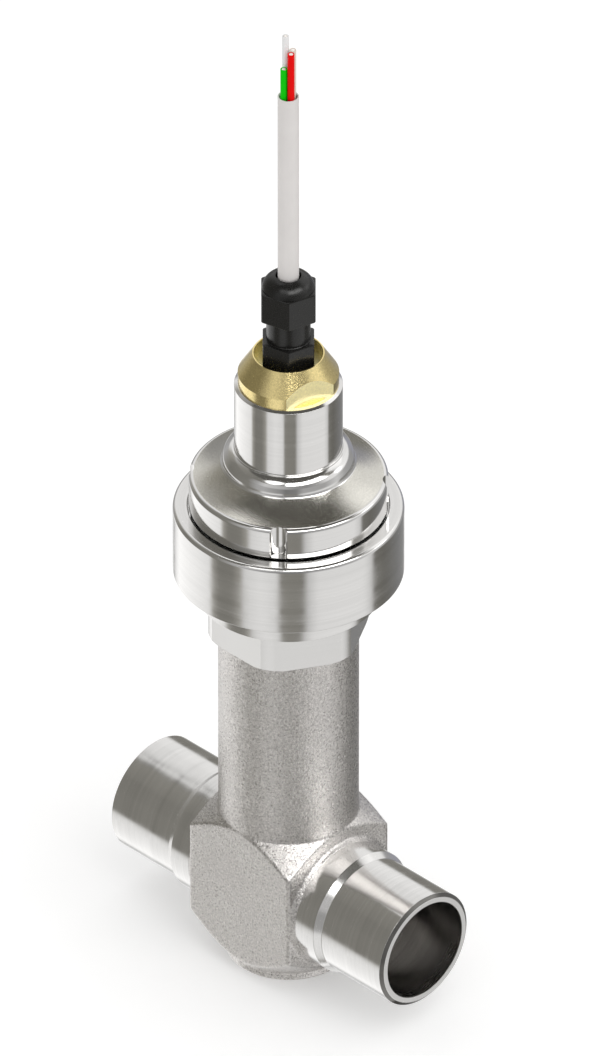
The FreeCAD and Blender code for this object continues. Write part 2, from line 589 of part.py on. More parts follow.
def make_valve_body():
    """One casting: turned boss, cones and tube, four block faces, two pipe ends and the inner passages."""
    body = new_body("valve_body")
    turned(body, "casting", [
        ("0", "0"),
        ("boss_d / 2 - boss_edge", "0"),
        ("boss_d / 2", "boss_edge"),
        ("boss_d / 2", "boss_height"),
        ("block_corner_d / 2", BLOCK_LOW),
        ("block_corner_d / 2", BLOCK_HIGH),
        ("tube_d / 2", TUBE_BASE),
        ("tube_d / 2", TUBE_TOP),
        ("0", TUBE_TOP),
    ])
    cut_flats(body, "block_face", "block_width", "block_corner_d / 2", "boss_height", TUBE_BASE, None, 4)
    pipe_axis = ("0", "pipe_height", "0")
    stub = turned(body, "pipe_end", [
        ("0", "0"),
        ("pipe_reach", "0"),
        ("pipe_reach", "pipe_d / 2 - weld_bevel"),
        ("pipe_reach - weld_bevel", "pipe_d / 2"),
        ("stub_reach + stub_taper", "pipe_d / 2"),
        ("stub_reach", "stub_d / 2"),
        ("block_width / 2 + root_reach", "stub_d / 2"),
        ("block_width / 2", "stub_d / 2 + root_rise", "right", "root_round"),
        ("0", "stub_d / 2 + root_rise"),
    ], axis="H_Axis", shift=pipe_axis)
    mirror_ends(body, "pipe_ends", stub)
    turned(body, "bore", [
        ("0", "floor_thickness"),
        (f"{CHAMBER_R} - chamber_round", "floor_thickness"),
        (CHAMBER_R, "floor_thickness + chamber_round", "left", "chamber_round"),
        (CHAMBER_R, f"{BRIDGE_TOP} - bridge_thickness"),
        (BRIDGE_HOLE_R, f"{BRIDGE_TOP} - bridge_thickness"),
        (BRIDGE_HOLE_R, f"{BRIDGE_TOP} - seat_pocket_depth"),
        (POCKET_R, f"{BRIDGE_TOP} - seat_pocket_depth"),
        (POCKET_R, BRIDGE_TOP),
        (BORE_R, BRIDGE_TOP),
        (BORE_R, f"{TUBE_TOP} - thread_depth"),
        (THREAD_R, f"{TUBE_TOP} - thread_depth"),
        (THREAD_R, TUBE_TOP),
        ("0", TUBE_TOP),
    ], cut=True)
    pipe_bore = turned(
        body, "pipe_bore", ring_corners("passage_start", "pipe_reach", "0", "pipe_d / 2 - pipe_wall"),
        axis="H_Axis", cut=True, shift=pipe_axis,
    )
    mirror_ends(body, "pipe_bores", pipe_bore)
    cast_passage(body, "inlet", "-", "upper_port_rise", "upper_port_width", "upper_port_height")
    cast_passage(body, "outlet", "", "(-lower_port_drop)", "lower_port_width", "lower_port_height")


def cast_passage(body, name, side, rise, width, height):
    """A cast passage that runs from a pipe's round bore to an oval port above or below the bridge."""
    start = circle(
        body, name + "_bore", "0", "pipe_height", "pipe_d / 2 - pipe_wall",
        "YZ_Plane", ("0", "0", f"{side}passage_start"),
    )
    port = oval(
        body, name + "_port", f"pipe_height + {rise}", width, height,
        "YZ_Plane", ("0", "0", f"{side}passage_turn"),
    )
    end = oval(
        body, name + "_end", f"pipe_height + {rise}", width, height,
        "YZ_Plane", ("0", "0", f"{side}passage_end"),
    )
    passage = feature(body, "SubtractiveLoft", name + "_passage", start)
    passage.Sections = [port, end]
    passage.Ruled = True


def make_seat_and_cage():
    """The seat pressed into the bridge, the cage with its flow windows and the gasket on the cage."""
    seat = new_body("valve_seat")
    turned(seat, "seat", [
        (PORT_R, f"{BRIDGE_TOP} - seat_pocket_depth"),
        (f"{POCKET_R} - press", f"{BRIDGE_TOP} - seat_pocket_depth"),
        (f"{POCKET_R} - press", BRIDGE_TOP),
        (FLANGE_R, BRIDGE_TOP),
        (FLANGE_R, SEAT_TOP),
        (PORT_R, SEAT_TOP),
    ])
    cage = new_body("cage")
    turned(cage, "sleeve", ring_corners(CAGE_INNER, CAGE_OUTER, SEAT_TOP, CAGE_TOP))
    half = "window_width / 2"
    sill = f"{SEAT_TOP} + window_sill"
    window = outline(cage, "window_outline", [
        (f"-{half}", sill),
        (half, sill),
        (half, f"{sill} + window_height"),
        (f"-{half}", f"{sill} + window_height"),
    ], "YZ_Plane")
    item = cut_through(cage, "window", window, f"2 * {BORE_R}")
    repeat_round(cage, "windows", item, "window_count")
    plain_ring("cage_gasket", f"{CAGE_INNER} + cage_play", CAGE_OUTER, CAGE_TOP, SPIGOT_END)


def make_piston():
    """The balanced piston, its seat seal, two piston rings and the cross pin that holds the rod."""
    groove = f"({PISTON_R} - ring_depth)"
    seal_inner = f"({NOSE_R} + seal_inset)"
    seal_outer = f"({seal_inner} + seal_width)"
    seal_top = f"({SEAT_TOP} + seal_height)"
    grooves = []
    for rise in ("lower_ring_rise", "upper_ring_rise"):
        low = f"({PISTON_FACE} + {rise})"
        high = f"({low} + ring_width)"
        grooves += [(PISTON_R, low), (groove, low), (groove, high), (PISTON_R, high)]
    piston = new_body("piston")
    turned(piston, "piston", [
        ("0", f"{PISTON_FACE} - nose_length"),
        (NOSE_TIP_R, f"{PISTON_FACE} - nose_length"),
        (NOSE_R, f"{PISTON_FACE} - nose_straight"),
        (NOSE_R, PISTON_FACE),
        (seal_inner, PISTON_FACE),
        (seal_inner, seal_top),
        (seal_outer, seal_top),
        (seal_outer, PISTON_FACE),
        (PISTON_R, PISTON_FACE),
        *grooves,
        (PISTON_R, PISTON_TOP),
        (CUP_R, PISTON_TOP),
        (CUP_R, CUP_FLOOR),
        ("rod_d / 2 + fit", CUP_FLOOR),
        ("rod_d / 2 + fit", ROD_FOOT),
        ("0", ROD_FOOT),
    ])
    hole = circle(
        piston, "balance_outline", f"(rod_d / 2 + {NOSE_TIP_R}) / 2", "0", "balance_hole_d / 2",
        shift=("0", "0", PISTON_TOP), turn="45",
    )
    item = cut_through(piston, "balance_hole", hole, "piston_length + nose_length")
    repeat_round(piston, "balance_holes", item, "balance_count")
    drill_for_pin(piston)

    plain_ring("seat_seal", f"{seal_inner} + press", f"{seal_outer} - press", SEAT_TOP, seal_top)
    for name, rise in (("lower_piston_ring", "lower_ring_rise"), ("upper_piston_ring", "upper_ring_rise")):
        low = f"({PISTON_FACE} + {rise} + fit)"
        high = f"({low} + ring_width - 2 * fit)"
        plain_ring(name, f"{groove} + fit", f"{CAGE_INNER} - ring_slide", low, high)

    pin = new_body("cross_pin")
    half = f"({PISTON_R} - pin_inset)"
    sketch = circle(
        pin, "outline", "0", f"{PISTON_FACE} + pin_rise", "pin_d / 2", "XZ_Plane", ("0", "0", f"-{half}")
    )
    pad = feature(pin, "Pad", "pin", sketch)
    pad.setExpression("Length", bound(f"2 * {half}"))


def drill_for_pin(body):
    """The cross hole for the pin, right through."""
    sketch = circle(
        body, "pin_outline", "0", f"{PISTON_FACE} + pin_rise", "pin_d / 2 + press",
        "XZ_Plane", ("0", "0", f"-{BORE_R}"),
    )
    cut_through(body, "pin_hole", sketch, f"2 * {BORE_R}", upward=True)


def make_spindle():
    """The rod with two flats and its screw thread, and the bush whose flat-sided hole stops it turning."""
    spindle = new_body("spindle")
    turned(spindle, "rod", [
        ("0", ROD_FOOT),
        ("rod_d / 2", ROD_FOOT),
        ("rod_d / 2", ROD_TOP),
        ("screw_d / 2", ROD_TOP),
        ("screw_d / 2", SCREW_TOP),
        ("0", SCREW_TOP),
    ])
    flats_low = f"({ROD_TOP} - flats_length)"
    cut_flats(spindle, "flat", "rod_flats", "rod_d / 2", flats_low, ROD_TOP, None, 2)
    drill_for_pin(spindle)

    bush = new_body("guide_bush")
    turned(bush, "bush", [
        ("0", f"{BUSH_SEAT} - bush_length"),
        ("bush_d / 2", f"{BUSH_SEAT} - bush_length"),
        ("bush_d / 2", BUSH_SEAT),
        ("bush_flange_d / 2", BUSH_SEAT),
        ("bush_flange_d / 2", f"{BUSH_SEAT} + bush_flange"),
        ("0", f"{BUSH_SEAT} + bush_flange"),
    ])
    half_flat = "(rod_flats / 2 + slide)"
    radius = "(rod_d / 2 + slide)"
    half_chord = f"sqrt({radius}^2 - {half_flat}^2)"
    hole = outline(bush, "hole_outline", [
        (f"-{half_flat}", f"-{half_chord}"),
        (half_flat, f"-{half_chord}", "left", radius),
        (half_flat, half_chord),
        (f"-{half_flat}", half_chord, "left", radius),
    ], "XY_Plane", ("0", "0", f"{BUSH_SEAT} + bush_flange"))
    cut_through(bush, "hole", hole, "bush_length + bush_flange")


def make_bonnet():
    """Spigot, wrench hexagon, collar and large ring, turned from one piece, and its O-ring."""
    corner = "(hex_corner_d / 2)"
    groove = f"({THREAD_R} - o_ring_depth)"
    face = f"({corner} - hex_bevel)"
    groove_high = f"({TUBE_TOP} - o_ring_drop)"
    groove_low = f"({groove_high} - o_ring_width)"
    bonnet = new_body("bonnet")
    turned(bonnet, "bonnet", [
        ("bush_d / 2 + fit", SPIGOT_END),
        (f"{THREAD_R} - fit - spigot_edge", SPIGOT_END),
        (f"{THREAD_R} - fit", f"{SPIGOT_END} + spigot_edge"),
        (f"{THREAD_R} - fit", groove_low),
        (groove, groove_low),
        (groove, groove_high),
        (f"{THREAD_R} - fit", groove_high),
        (f"{THREAD_R} - fit", TUBE_TOP),
        (face, TUBE_TOP),
        (corner, f"{TUBE_TOP} + hex_bevel * tan(hex_bevel_angle)"),
        (corner, HEX_TOP),
        ("collar_d / 2", HEX_TOP),
        ("collar_d / 2", COLLAR_TOP),
        ("ring_d / 2 - ring_foot_edge", COLLAR_TOP),
        ("ring_d / 2", f"{COLLAR_TOP} + ring_foot_edge"),
        ("ring_d / 2", f"{RING_TOP} - ring_edge"),
        ("ring_d / 2 - ring_edge", RING_TOP, "left", "ring_edge"),
        (f"{MOUTH_R} + mouth_edge", RING_TOP),
        (MOUTH_R, f"{RING_TOP} - mouth_edge", "left", "mouth_edge"),
        (MOUTH_R, MOUTH_FLOOR),
        (SKIRT_R, MOUTH_FLOOR),
        (SKIRT_R, MOTOR_FLOOR),
        ("low_od / 2 + fit", MOTOR_FLOOR),
        ("low_od / 2 + fit", BEARING_SEAT),
        ("bush_flange_d / 2 + fit", BEARING_SEAT),
        ("bush_flange_d / 2 + fit", BUSH_SEAT),
        ("bush_d / 2 + fit", BUSH_SEAT),
    ])
    cut_flats(bonnet, "hex_flat", "hex_width", corner, TUBE_TOP, HEX_TOP, "hex_turn", 6)
    low, high = f"{groove_low} + fit", f"{groove_high} - fit"
    plain_ring("bonnet_o_ring", f"{groove} + fit", f"{THREAD_R} - press", low, high)


def make_motor_housing():
    """The bell: threaded skirt, disc with spanner notches, hollow flare, rounded shoulder and neck."""
    housing = new_body("motor_housing")
    foot = f"({DISC_R} - disc_foot_round)"
    turned(housing, "bell", [
        (SKIRT_INNER, SKIRT_END),
        (SKIRT_OUTER, SKIRT_END),
        (SKIRT_OUTER, HOUSING_SEAT),
        (foot, HOUSING_SEAT),
        (foot, DISC_LOW),
        (DISC_R, f"{DISC_LOW} + disc_foot_round", "left", "disc_foot_round"),
        (DISC_R, f"{DISC_RIM} - rim_round"),
        (f"{DISC_R} - rim_round", DISC_RIM, "left", "rim_round"),
        (FLARE_TOP_R, FLARE_TOP, "right", "flare_round"),
        (SHOULDER_R, CREASE, "right", "crease_round"),
        (SHOULDER_TOP_R, SHOULDER_TOP, "left", "shoulder_round"),
        ("neck_d / 2", SHOULDER_TOP),
        ("neck_d / 2", f"{NECK_TOP} - neck_edge"),
        (BAND_R, NECK_TOP),
        (NECK_THREAD_R, NECK_TOP),
        (NECK_THREAD_R, HEADER_BASE),
        (LEAD_CHAMBER_R, HEADER_BASE),
        (LEAD_CHAMBER_R, CHAMBER_FLOOR),
        ("vent_d / 2", CHAMBER_FLOOR),
        ("vent_d / 2", TOP_BEARING_TOP),
        ("top_od / 2 + fit", TOP_BEARING_TOP),
        ("top_od / 2 + fit", CEILING),
        (SKIRT_INNER, CEILING),
    ])
    notch = circle(
        housing, "notch_outline", f"{DISC_R} + notch_round - notch_depth", "0", "notch_round",
        shift=("0", "0", FLARE_TOP), turn="notch_turn",
    )
    item = cut_through(housing, "notch", notch, f"{FLARE_TOP} - {DISC_LOW}")
    repeat_round(housing, "notches", item, "notch_count")
    hole = circle(
        housing, "lead_outline", LEAD_R, "0", "lead_hole_d / 2",
        shift=("0", "0", CHAMBER_FLOOR), turn="core_turn",
    )
    item = cut_through(housing, "lead_hole", hole, f"{CHAMBER_FLOOR} - {CEILING}")
    repeat_round(housing, "lead_holes", item, "core_count")
    plain_ring("housing_gasket", SKIRT_R, foot, MOUTH_FLOOR, HOUSING_SEAT)


def make_rotor():
    """Hub with its lower journal, spindle nut, ring magnet, and cap with the top journal."""
    hub = new_body("rotor_hub")
    turned(hub, "hub", [
        (ROD_BORE_R, HUB_FOOT),
        ("low_bore_d / 2 - press", HUB_FOOT),
        ("low_bore_d / 2 - press", HUB_SHOULDER),
        ("hub_shoulder_d / 2", HUB_SHOULDER),
        ("hub_shoulder_d / 2", HUB_COLLAR),
        ("hub_collar_d / 2", HUB_COLLAR),
        ("hub_collar_d / 2", MAGNET_BASE),
        ("hub_core_d / 2", MAGNET_BASE),
        ("hub_core_d / 2", MAGNET_TOP),
        ("nut_d / 2 + press", MAGNET_TOP),
        ("nut_d / 2 + press", HUB_COLLAR),
        (ROD_BORE_R, HUB_COLLAR),
    ])
    plain_ring("spindle_nut", "screw_d / 2 + slide", "nut_d / 2", HUB_COLLAR, f"{HUB_COLLAR} + nut_length")
    plain_ring("rotor_magnet", "hub_core_d / 2 + press", "magnet_d / 2", MAGNET_BASE, MAGNET_TOP)
    cap = new_body("rotor_cap")
    turned(cap, "cap", [
        ("cap_bore_d / 2", MAGNET_TOP),
        ("hub_collar_d / 2", MAGNET_TOP),
        ("hub_collar_d / 2", CAP_FLANGE_TOP),
        ("cap_dome_d / 2", CAP_FLANGE_TOP),
        ("cap_dome_d / 2", CAP_DOME_TOP),
        ("cap_seat_d / 2", CAP_DOME_TOP),
        ("cap_seat_d / 2", TOP_BEARING_BASE),
        ("top_bore_d / 2 - press", TOP_BEARING_BASE),
        ("top_bore_d / 2 - press", TOP_BEARING_TOP),
        ("0", TOP_BEARING_TOP),
        ("0", f"{CAP_DOME_TOP} - cap_roof"),
        ("cap_bore_d / 2", f"{CAP_DOME_TOP} - cap_roof"),
    ])


def make_bearing(name, prefix, base):
    """A ball bearing: outer ring, inner ring with a race each, and the balls as one group."""
    bore, outside = f"({prefix}_bore_d / 2)", f"({prefix}_od / 2)"
    pitch = f"(({bore} + {outside}) / 2)"
    race = f"({prefix}_ball_d / 2 + race_play)"
    land = f"({race} * land_share)"
    middle = f"({base} + {prefix}_width / 2)"
    half = f"sqrt({race}^2 - {land}^2)"
    top = f"({base} + {prefix}_width)"
    inner = new_body(f"{name}_inner")
    turned(inner, "race", [
        (bore, base),
        (f"{pitch} - {land}", base),
        (f"{pitch} - {land}", f"{middle} - {half}"),
        (f"{pitch} - {land}", f"{middle} + {half}", "right", race),
        (f"{pitch} - {land}", top),
        (bore, top),
    ])
    outer = new_body(f"{name}_outer")
    turned(outer, "race", [
        (f"{pitch} + {land}", base),
        (outside, base),
        (outside, top),
        (f"{pitch} + {land}", top),
        (f"{pitch} + {land}", f"{middle} + {half}"),
        (f"{pitch} + {land}", f"{middle} - {half}", "right", race),
    ])
    balls = new_body(f"{name}_balls", in_several_pieces=True)
    radius = f"({prefix}_ball_d / 2)"
    ball = turned(balls, "ball", [
        ("0", f"-{radius}"),
        (radius, "0", "left", radius),
        ("0", radius, "left", radius),
    ], shift=(pitch, middle, "0"))
    repeat_round(balls, "set", ball, f"{prefix}_ball_count")


def make_stator():
    """Spacer, two stacks of cup, pole plate, bobbin and winding, and the cover over them."""
    plain_ring("stator_spacer", POLE_R, STATOR_R, MOTOR_FLOOR, STACK_BASE)
    for place, base, direction in (("lower", STACK_BASE, ""), ("upper", STACK_TOP, "-")):
        make_stack(place, base, direction)
    cover = plain_ring("stator_cover", f"{LEAD_R} - cover_rim", STATOR_R, STACK_TOP, CEILING)
    hole = circle(
        cover, "lead_outline", LEAD_R, "0", "lead_d / 2 + press",
        shift=("0", "0", CEILING), turn="core_turn",
    )
    item = cut_through(cover, "lead_hole", hole, "cover_thickness")
    repeat_round(cover, "lead_holes", item, "core_count")


def make_stack(place, base, direction):
    """One stack, built from its end plate towards the middle of the stator."""
    def height(text):
        return f"({base} + {direction}({text}))" if direction else f"({base} + {text})"

    middle = height("stack_height")
    plate = height("stack_height - cup_wall")
    tip = height("stack_height - 2 * cup_wall")
    foot = height("2 * cup_wall")
    pole_outer = f"({POLE_R} + pole_thickness)"
    cup = new_body(f"stator_cup_{place}")
    corners = [
        (POLE_R, base),
        (STATOR_R, base),
        (STATOR_R, plate),
        (f"{STATOR_R} - cup_wall", plate),
        (f"{STATOR_R} - cup_wall", height("cup_wall")),
        (pole_outer, height("cup_wall")),
        (pole_outer, tip),
        (POLE_R, tip),
    ]
    turned(cup, "cup", corners if not direction else corners[::-1])
    cut_between_poles(cup, height("cup_wall"), tip, "0")
    disc = new_body(f"pole_plate_{place}")
    corners = [
        (POLE_R, foot),
        (pole_outer, foot),
        (pole_outer, plate),
        (STATOR_R, plate),
        (STATOR_R, middle),
        (POLE_R, middle),
    ]
    turned(disc, "plate", corners if not direction else corners[::-1])
    cut_between_poles(disc, foot, plate, "180 / pole_count")
    bobbin = new_body(f"bobbin_{place}")
    low, high = height("cup_wall + coil_gap"), height("stack_height - cup_wall - coil_gap")
    low_flange = height("cup_wall + coil_gap + bobbin_wall")
    high_flange = height("stack_height - cup_wall - coil_gap - bobbin_wall")
    corners = [
        (BOBBIN_INNER, low),
        (BOBBIN_OUTER, low),
        (BOBBIN_OUTER, low_flange),
        (f"{BOBBIN_INNER} + bobbin_wall", low_flange),
        (f"{BOBBIN_INNER} + bobbin_wall", high_flange),
        (BOBBIN_OUTER, high_flange),
        (BOBBIN_OUTER, high),
        (BOBBIN_INNER, high),
    ]
    turned(bobbin, "bobbin", corners if not direction else corners[::-1])
    winding = new_body(f"winding_{place}")
    corners = ring_corners(
        f"{BOBBIN_INNER} + bobbin_wall + press", f"{BOBBIN_OUTER} - winding_inset", low_flange, high_flange
    )
    turned(winding, "winding", corners if not direction else corners[::-1])


def cut_between_poles(body, start, end, turn):
    """Opens the gaps between the claw poles of a cup or plate."""
    low, high = (start, end) if value(start) < value(end) else (end, start)
    half = f"(pi * ({POLE_R} + pole_thickness / 2) / pole_count - pole_width / 2)"
    near, far = f"({POLE_R} - coil_gap)", f"({POLE_R} + pole_thickness + coil_gap / 2)"
    sketch = outline(body, "pole_gap_outline", [
        (near, f"-{half}"),
        (far, f"-{half}"),
        (far, half),
        (near, half),
    ], "XY_Plane", ("0", "0", high), turn)
    item = cut_through(body, "pole_gap", sketch, f"{high} - {low}")
    repeat_round(body, "pole_gaps", item, "pole_count")


def make_header():
    """The sealed header that brings the motor's leads out: ring, glass, pins and the seal on top."""
    plain_ring("header_ring", f"{GLASS_R} + press", HEADER_R, HEADER_BASE, HEADER_TOP)
    glass = new_body("header_glass")
    turned(glass, "glass", ring_corners("0", GLASS_R, HEADER_BASE, HEADER_TOP))
    hole = circle(
        glass, "pin_outline", "header_pin_circle_d / 2", "0", "header_pin_d / 2 + press",
        shift=("0", "0", HEADER_TOP), turn="core_turn",
    )
    item = cut_through(glass, "pin_hole", hole, "header_height")
    repeat_round(glass, "pin_holes", item, "core_count")
    pins = new_body("header_pins", in_several_pieces=True)
    sketch = circle(
        pins, "outline", "header_pin_circle_d / 2", "0", "header_pin_d / 2",
        shift=("0", "0", PIN_FOOT), turn="core_turn",
    )
    pin = feature(pins, "Pad", "pin", sketch)
    pin.setExpression("Length", bound(f"{PIN_HEAD} - {PIN_FOOT}"))
    repeat_round(pins, "set", pin, "core_count")
    plain_ring("header_seal", f"{HEADER_R} - header_seal_wall", HEADER_R, HEADER_TOP, ADAPTER_FOOT)


def make_adapter():
    """The brass adapter: threaded spigot, band, cone with two spanner flats, recess for the gland."""
    adapter = new_body("brass_adapter")
    turned(adapter, "adapter", [
        (ADAPTER_CHAMBER_R, ADAPTER_FOOT),
        (f"{NECK_THREAD_R} - fit", ADAPTER_FOOT),
        (f"{NECK_THREAD_R} - fit", NECK_TOP),
        (BAND_R, NECK_TOP),
        (BAND_R, BAND_TOP),
        (CONE_TOP_R, CONE_TOP),
        (f"{CONE_TOP_R} - recess_rim", CONE_TOP),
        (f"{CONE_TOP_R} - recess_rim", RECESS_FLOOR),
        ("gland_thread_d / 2 + fit", RECESS_FLOOR),
        ("gland_thread_d / 2 + fit", WEB_FOOT),
        (ADAPTER_CHAMBER_R, WEB_FOOT),
    ])
    across = f"(2 * ({BAND_R} - flat_depth))"
    cut_flats(adapter, "flat", across, BAND_R, NECK_TOP, CONE_TOP, "flats_turn", 2)


def make_gland():
    """The cable gland: washer, body with slotted clamping fingers, rubber seal and domed nut."""
    plain_ring("gland_washer", "gland_thread_d / 2 + fit", "washer_d / 2", RECESS_FLOOR, GLAND_SEAT)

    corner = "(gland_hex_width / 2 / cos(30))"
    gland = new_body("gland_body")
    turned(gland, "gland", [
        ("gland_bore_d / 2", f"{GLAND_SEAT} - gland_thread_length"),
        ("gland_thread_d / 2", f"{GLAND_SEAT} - gland_thread_length"),
        ("gland_thread_d / 2", GLAND_SEAT),
        (corner, GLAND_SEAT),
        (corner, GLAND_HEX_TOP),
        ("gland_neck_d / 2", GLAND_HEX_TOP),
        ("gland_neck_d / 2", THREAD_ROOF),
        ("gland_neck_d / 2 - finger_taper", FINGER_TOP),
        ("seal_pocket_d / 2", FINGER_TOP),
        ("seal_pocket_d / 2", SEAL_SEAT),
        ("gland_bore_d / 2", SEAL_SEAT),
    ])
    cut_flats(gland, "hex_flat", "gland_hex_width", corner, GLAND_SEAT, GLAND_HEX_TOP, "gland_turn", 6)
    half = "finger_slot / 2"
    slot = outline(gland, "slot_outline", [
        ("gland_bore_d / 2", f"-{half}"),
        ("gland_neck_d", f"-{half}"),
        ("gland_neck_d", half),
        ("gland_bore_d / 2", half),
    ], "XY_Plane", ("0", "0", FINGER_TOP))
    item = cut_through(gland, "finger_slot", slot, "finger_height")
    repeat_round(gland, "finger_slots", item, "finger_count")

    seal = new_body("gland_seal")
    seal_top = f"({FINGER_TOP} + cable_d / 4)"
    turned(seal, "seal", [
        ("cable_d / 2 + fit", SEAL_SEAT),
        ("seal_pocket_d / 2 - fit", SEAL_SEAT),
        ("seal_pocket_d / 2 - fit", f"{FINGER_TOP} + fit"),
        ("cable_hole_d / 2 + fit", seal_top),
        ("cable_d / 2 + fit", seal_top),
    ])

    corner = "(nut_hex_width / 2 / cos(30))"
    nut = new_body("gland_nut")
    turned(nut, "nut", [
        ("gland_neck_d / 2 + fit", NUT_BASE),
        (corner, NUT_BASE),
        (corner, NUT_HEX_TOP),
        ("dome_d / 2", NUT_HEX_TOP),
        ("cable_hole_d / 2", DOME_TOP, "left", "dome_round"),
        ("cable_hole_d / 2", f"{THREAD_ROOF} + (gland_neck_d - cable_hole_d) / 2"),
        ("gland_neck_d / 2 + fit", THREAD_ROOF),
    ])
    cut_flats(nut, "hex_flat", "nut_hex_width", corner, NUT_BASE, NUT_HEX_TOP, "gland_turn", 6)


def make_cable():
    """The cable's jacket, its four cores beyond the jacket, and the leads inside the valve."""
    jacket = new_body("cable_jacket")
    turned(jacket, "jacket", ring_corners("0", "cable_d / 2", CABLE_FOOT, CABLE_END))
    for index, colour in enumerate(("red", "grey", "white", "green")):
        turn = f"core_turn + {index} * 360 / core_count"
        make_core(f"core_{colour}", f"{colour}_length", turn)
        inner = new_body(f"lead_{colour}")
        make_wire(
            inner, "core_d / 2", ("header_pin_circle_d / 2", PIN_HEAD, f"{PIN_HEAD} + lead_stub"),
            ("core_circle_d / 2", f"{WEB_FOOT} - lead_stub", CABLE_FOOT), turn,
        )
    motor_leads = new_body("motor_leads", in_several_pieces=True)
    wire = make_wire(
        motor_leads, "lead_d / 2", (LEAD_R, STACK_TOP, CHAMBER_FLOOR),
        ("header_pin_circle_d / 2", f"{PIN_FOOT} - lead_stub", PIN_FOOT), "core_turn",
    )
    repeat_round(motor_leads, "set", wire, "core_count")


def make_core(name, length, turn):
    """One insulated core beyond the jacket."""
    core = doc.addObject("Part::Cylinder", name)
    core.Label = name
    core.setExpression("Radius", bound("core_d / 2"))
    core.setExpression("Height", bound(length))
    core.setExpression("Placement.Base.x", bound(f"core_circle_d / 2 * cos({turn})"))
    core.setExpression("Placement.Base.y", bound(f"core_circle_d / 2 * sin({turn})"))
    core.setExpression("Placement.Base.z", bound(CABLE_END))
    parts.append(core)


def make_wire(body, radius, foot, head, turn):
    """A wire that runs up from foot to head and shifts inwards between them in two arcs.

    Foot and head are each (distance from the valve axis, lower height, upper height) of a straight end.
    """
    rise = f"({head[1]} - {foot[2]})"
    shift = f"({foot[0]} - {head[0]})"
    arc = f"(({rise}^2 + {shift}^2) / (4 * {shift}))"
    path = outline(body, "path", [
        (foot[0], foot[1]),
        (foot[0], foot[2]),
        (f"({foot[0]} + {head[0]}) / 2", f"({foot[2]} + {head[1]}) / 2", "left", arc),
        (head[0], head[1], "right", arc),
        (head[0], head[2]),
    ], turn=None, closed=False)
    section = circle(body, "section", foot[0], "0", radius, shift=("0", "0", foot[1]))
    wire = feature(body, "AdditivePipe", "wire", section)
    wire.Spine = (path, [f"Edge{index + 1}" for index in range(4)])
    body.Placement = FreeCAD.Placement(FreeCAD.Vector(), FreeCAD.Rotation(FreeCAD.Vector(0, 0, 1), 1))
    body.setExpression("Placement.Rotation.Angle", bound(turn))
    return wire


def check_and_export():
    """Stops on any failed feature or shape, then writes one STEP file for each sub-part."""
    doc.recompute()
    for item in doc.Objects:
        if "Invalid" in item.State or "Error" in item.State:
            raise RuntimeError(f"{item.Label} failed: {item.State}")
    for part in parts:
        if part.Shape.isNull() or not part.Shape.isValid() or part.Shape.Volume <= 0:
            raise RuntimeError(f"{part.Label} has no valid shape")
    os.makedirs("parts", exist_ok=True)
    for part in parts:
        part.Shape.exportStep(f"parts/{part.Label}.step")
        print(f"{part.Label}: {len(part.Shape.Solids)} solids, {part.Shape.Volume:.1f} mm3")


fill_sheet()
make_valve_body()
make_seat_and_cage()
make_piston()
make_spindle()
make_bonnet()
make_motor_housing()
make_rotor()
make_bearing("lower_bearing", "low", BEARING_SEAT)
make_bearing("top_bearing", "top", TOP_BEARING_BASE)
make_stator()
make_header()
make_adapter()
make_gland()
make_cable()
check_and_export()
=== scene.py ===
import json
import math

import bmesh
import bpy
import numpy as np
from mathutils import Matrix, Vector, noise


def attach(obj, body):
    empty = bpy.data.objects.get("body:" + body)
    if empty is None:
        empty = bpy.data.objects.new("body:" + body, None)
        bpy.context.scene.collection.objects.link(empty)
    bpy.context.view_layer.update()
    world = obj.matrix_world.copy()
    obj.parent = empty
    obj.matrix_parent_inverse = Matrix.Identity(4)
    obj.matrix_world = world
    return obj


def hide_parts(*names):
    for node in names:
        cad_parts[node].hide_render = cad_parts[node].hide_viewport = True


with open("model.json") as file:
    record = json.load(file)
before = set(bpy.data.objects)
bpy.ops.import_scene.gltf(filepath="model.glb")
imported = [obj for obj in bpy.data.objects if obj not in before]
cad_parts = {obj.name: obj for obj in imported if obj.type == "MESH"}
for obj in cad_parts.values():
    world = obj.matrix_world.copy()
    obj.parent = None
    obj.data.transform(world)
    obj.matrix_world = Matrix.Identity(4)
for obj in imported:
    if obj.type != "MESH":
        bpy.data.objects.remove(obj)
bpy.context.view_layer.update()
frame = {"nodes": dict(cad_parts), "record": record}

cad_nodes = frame["nodes"]

# Lengths are in millimetres, and MM turns them into Blender's metres. Angles are in degrees
# unless math.radians is written beside them.

MM = 0.001
PIPE_HEIGHT = 25.9
HOLD = 0.05
SHARP_ANGLE = math.radians(22)


# Camera

FRAME_HEIGHT = 295.7
SENSOR = 36.0
LENS = 950.0
FOCUS_DEPTH = 89.0
FAR_CLIP = 100
RIGHT = Vector((1, 1, 0)).normalized()
BACK = Vector((1, -1, 1)).normalized()
UP = BACK.cross(RIGHT)
AIM_RIGHT, AIM_UP = 5.32, 117.77
AIM = RIGHT * AIM_RIGHT + UP * AIM_UP


def make_camera():
    """The photograph's view from 45 degrees round and 35 up, from far away with a long lens."""
    camera = bpy.data.objects.new("camera", bpy.data.cameras.new("camera"))
    camera.data.lens = LENS
    camera.data.sensor_width = SENSOR
    camera.data.clip_end = FAR_CLIP
    distance = FOCUS_DEPTH + LENS * FRAME_HEIGHT / SENSOR
    place = Matrix.Translation((AIM + BACK * distance) * MM)
    camera.matrix_world = place @ Matrix((RIGHT, UP, BACK)).transposed().to_4x4()
    bpy.context.scene.collection.objects.link(camera)
    bpy.context.scene.camera = camera


# Cord

CABLE_R = 3.0
CABLE_FOOT, CABLE_END = 206.0, 290.9
TUBE_SHORT = 0.2
ROUTE_POINTS = 5


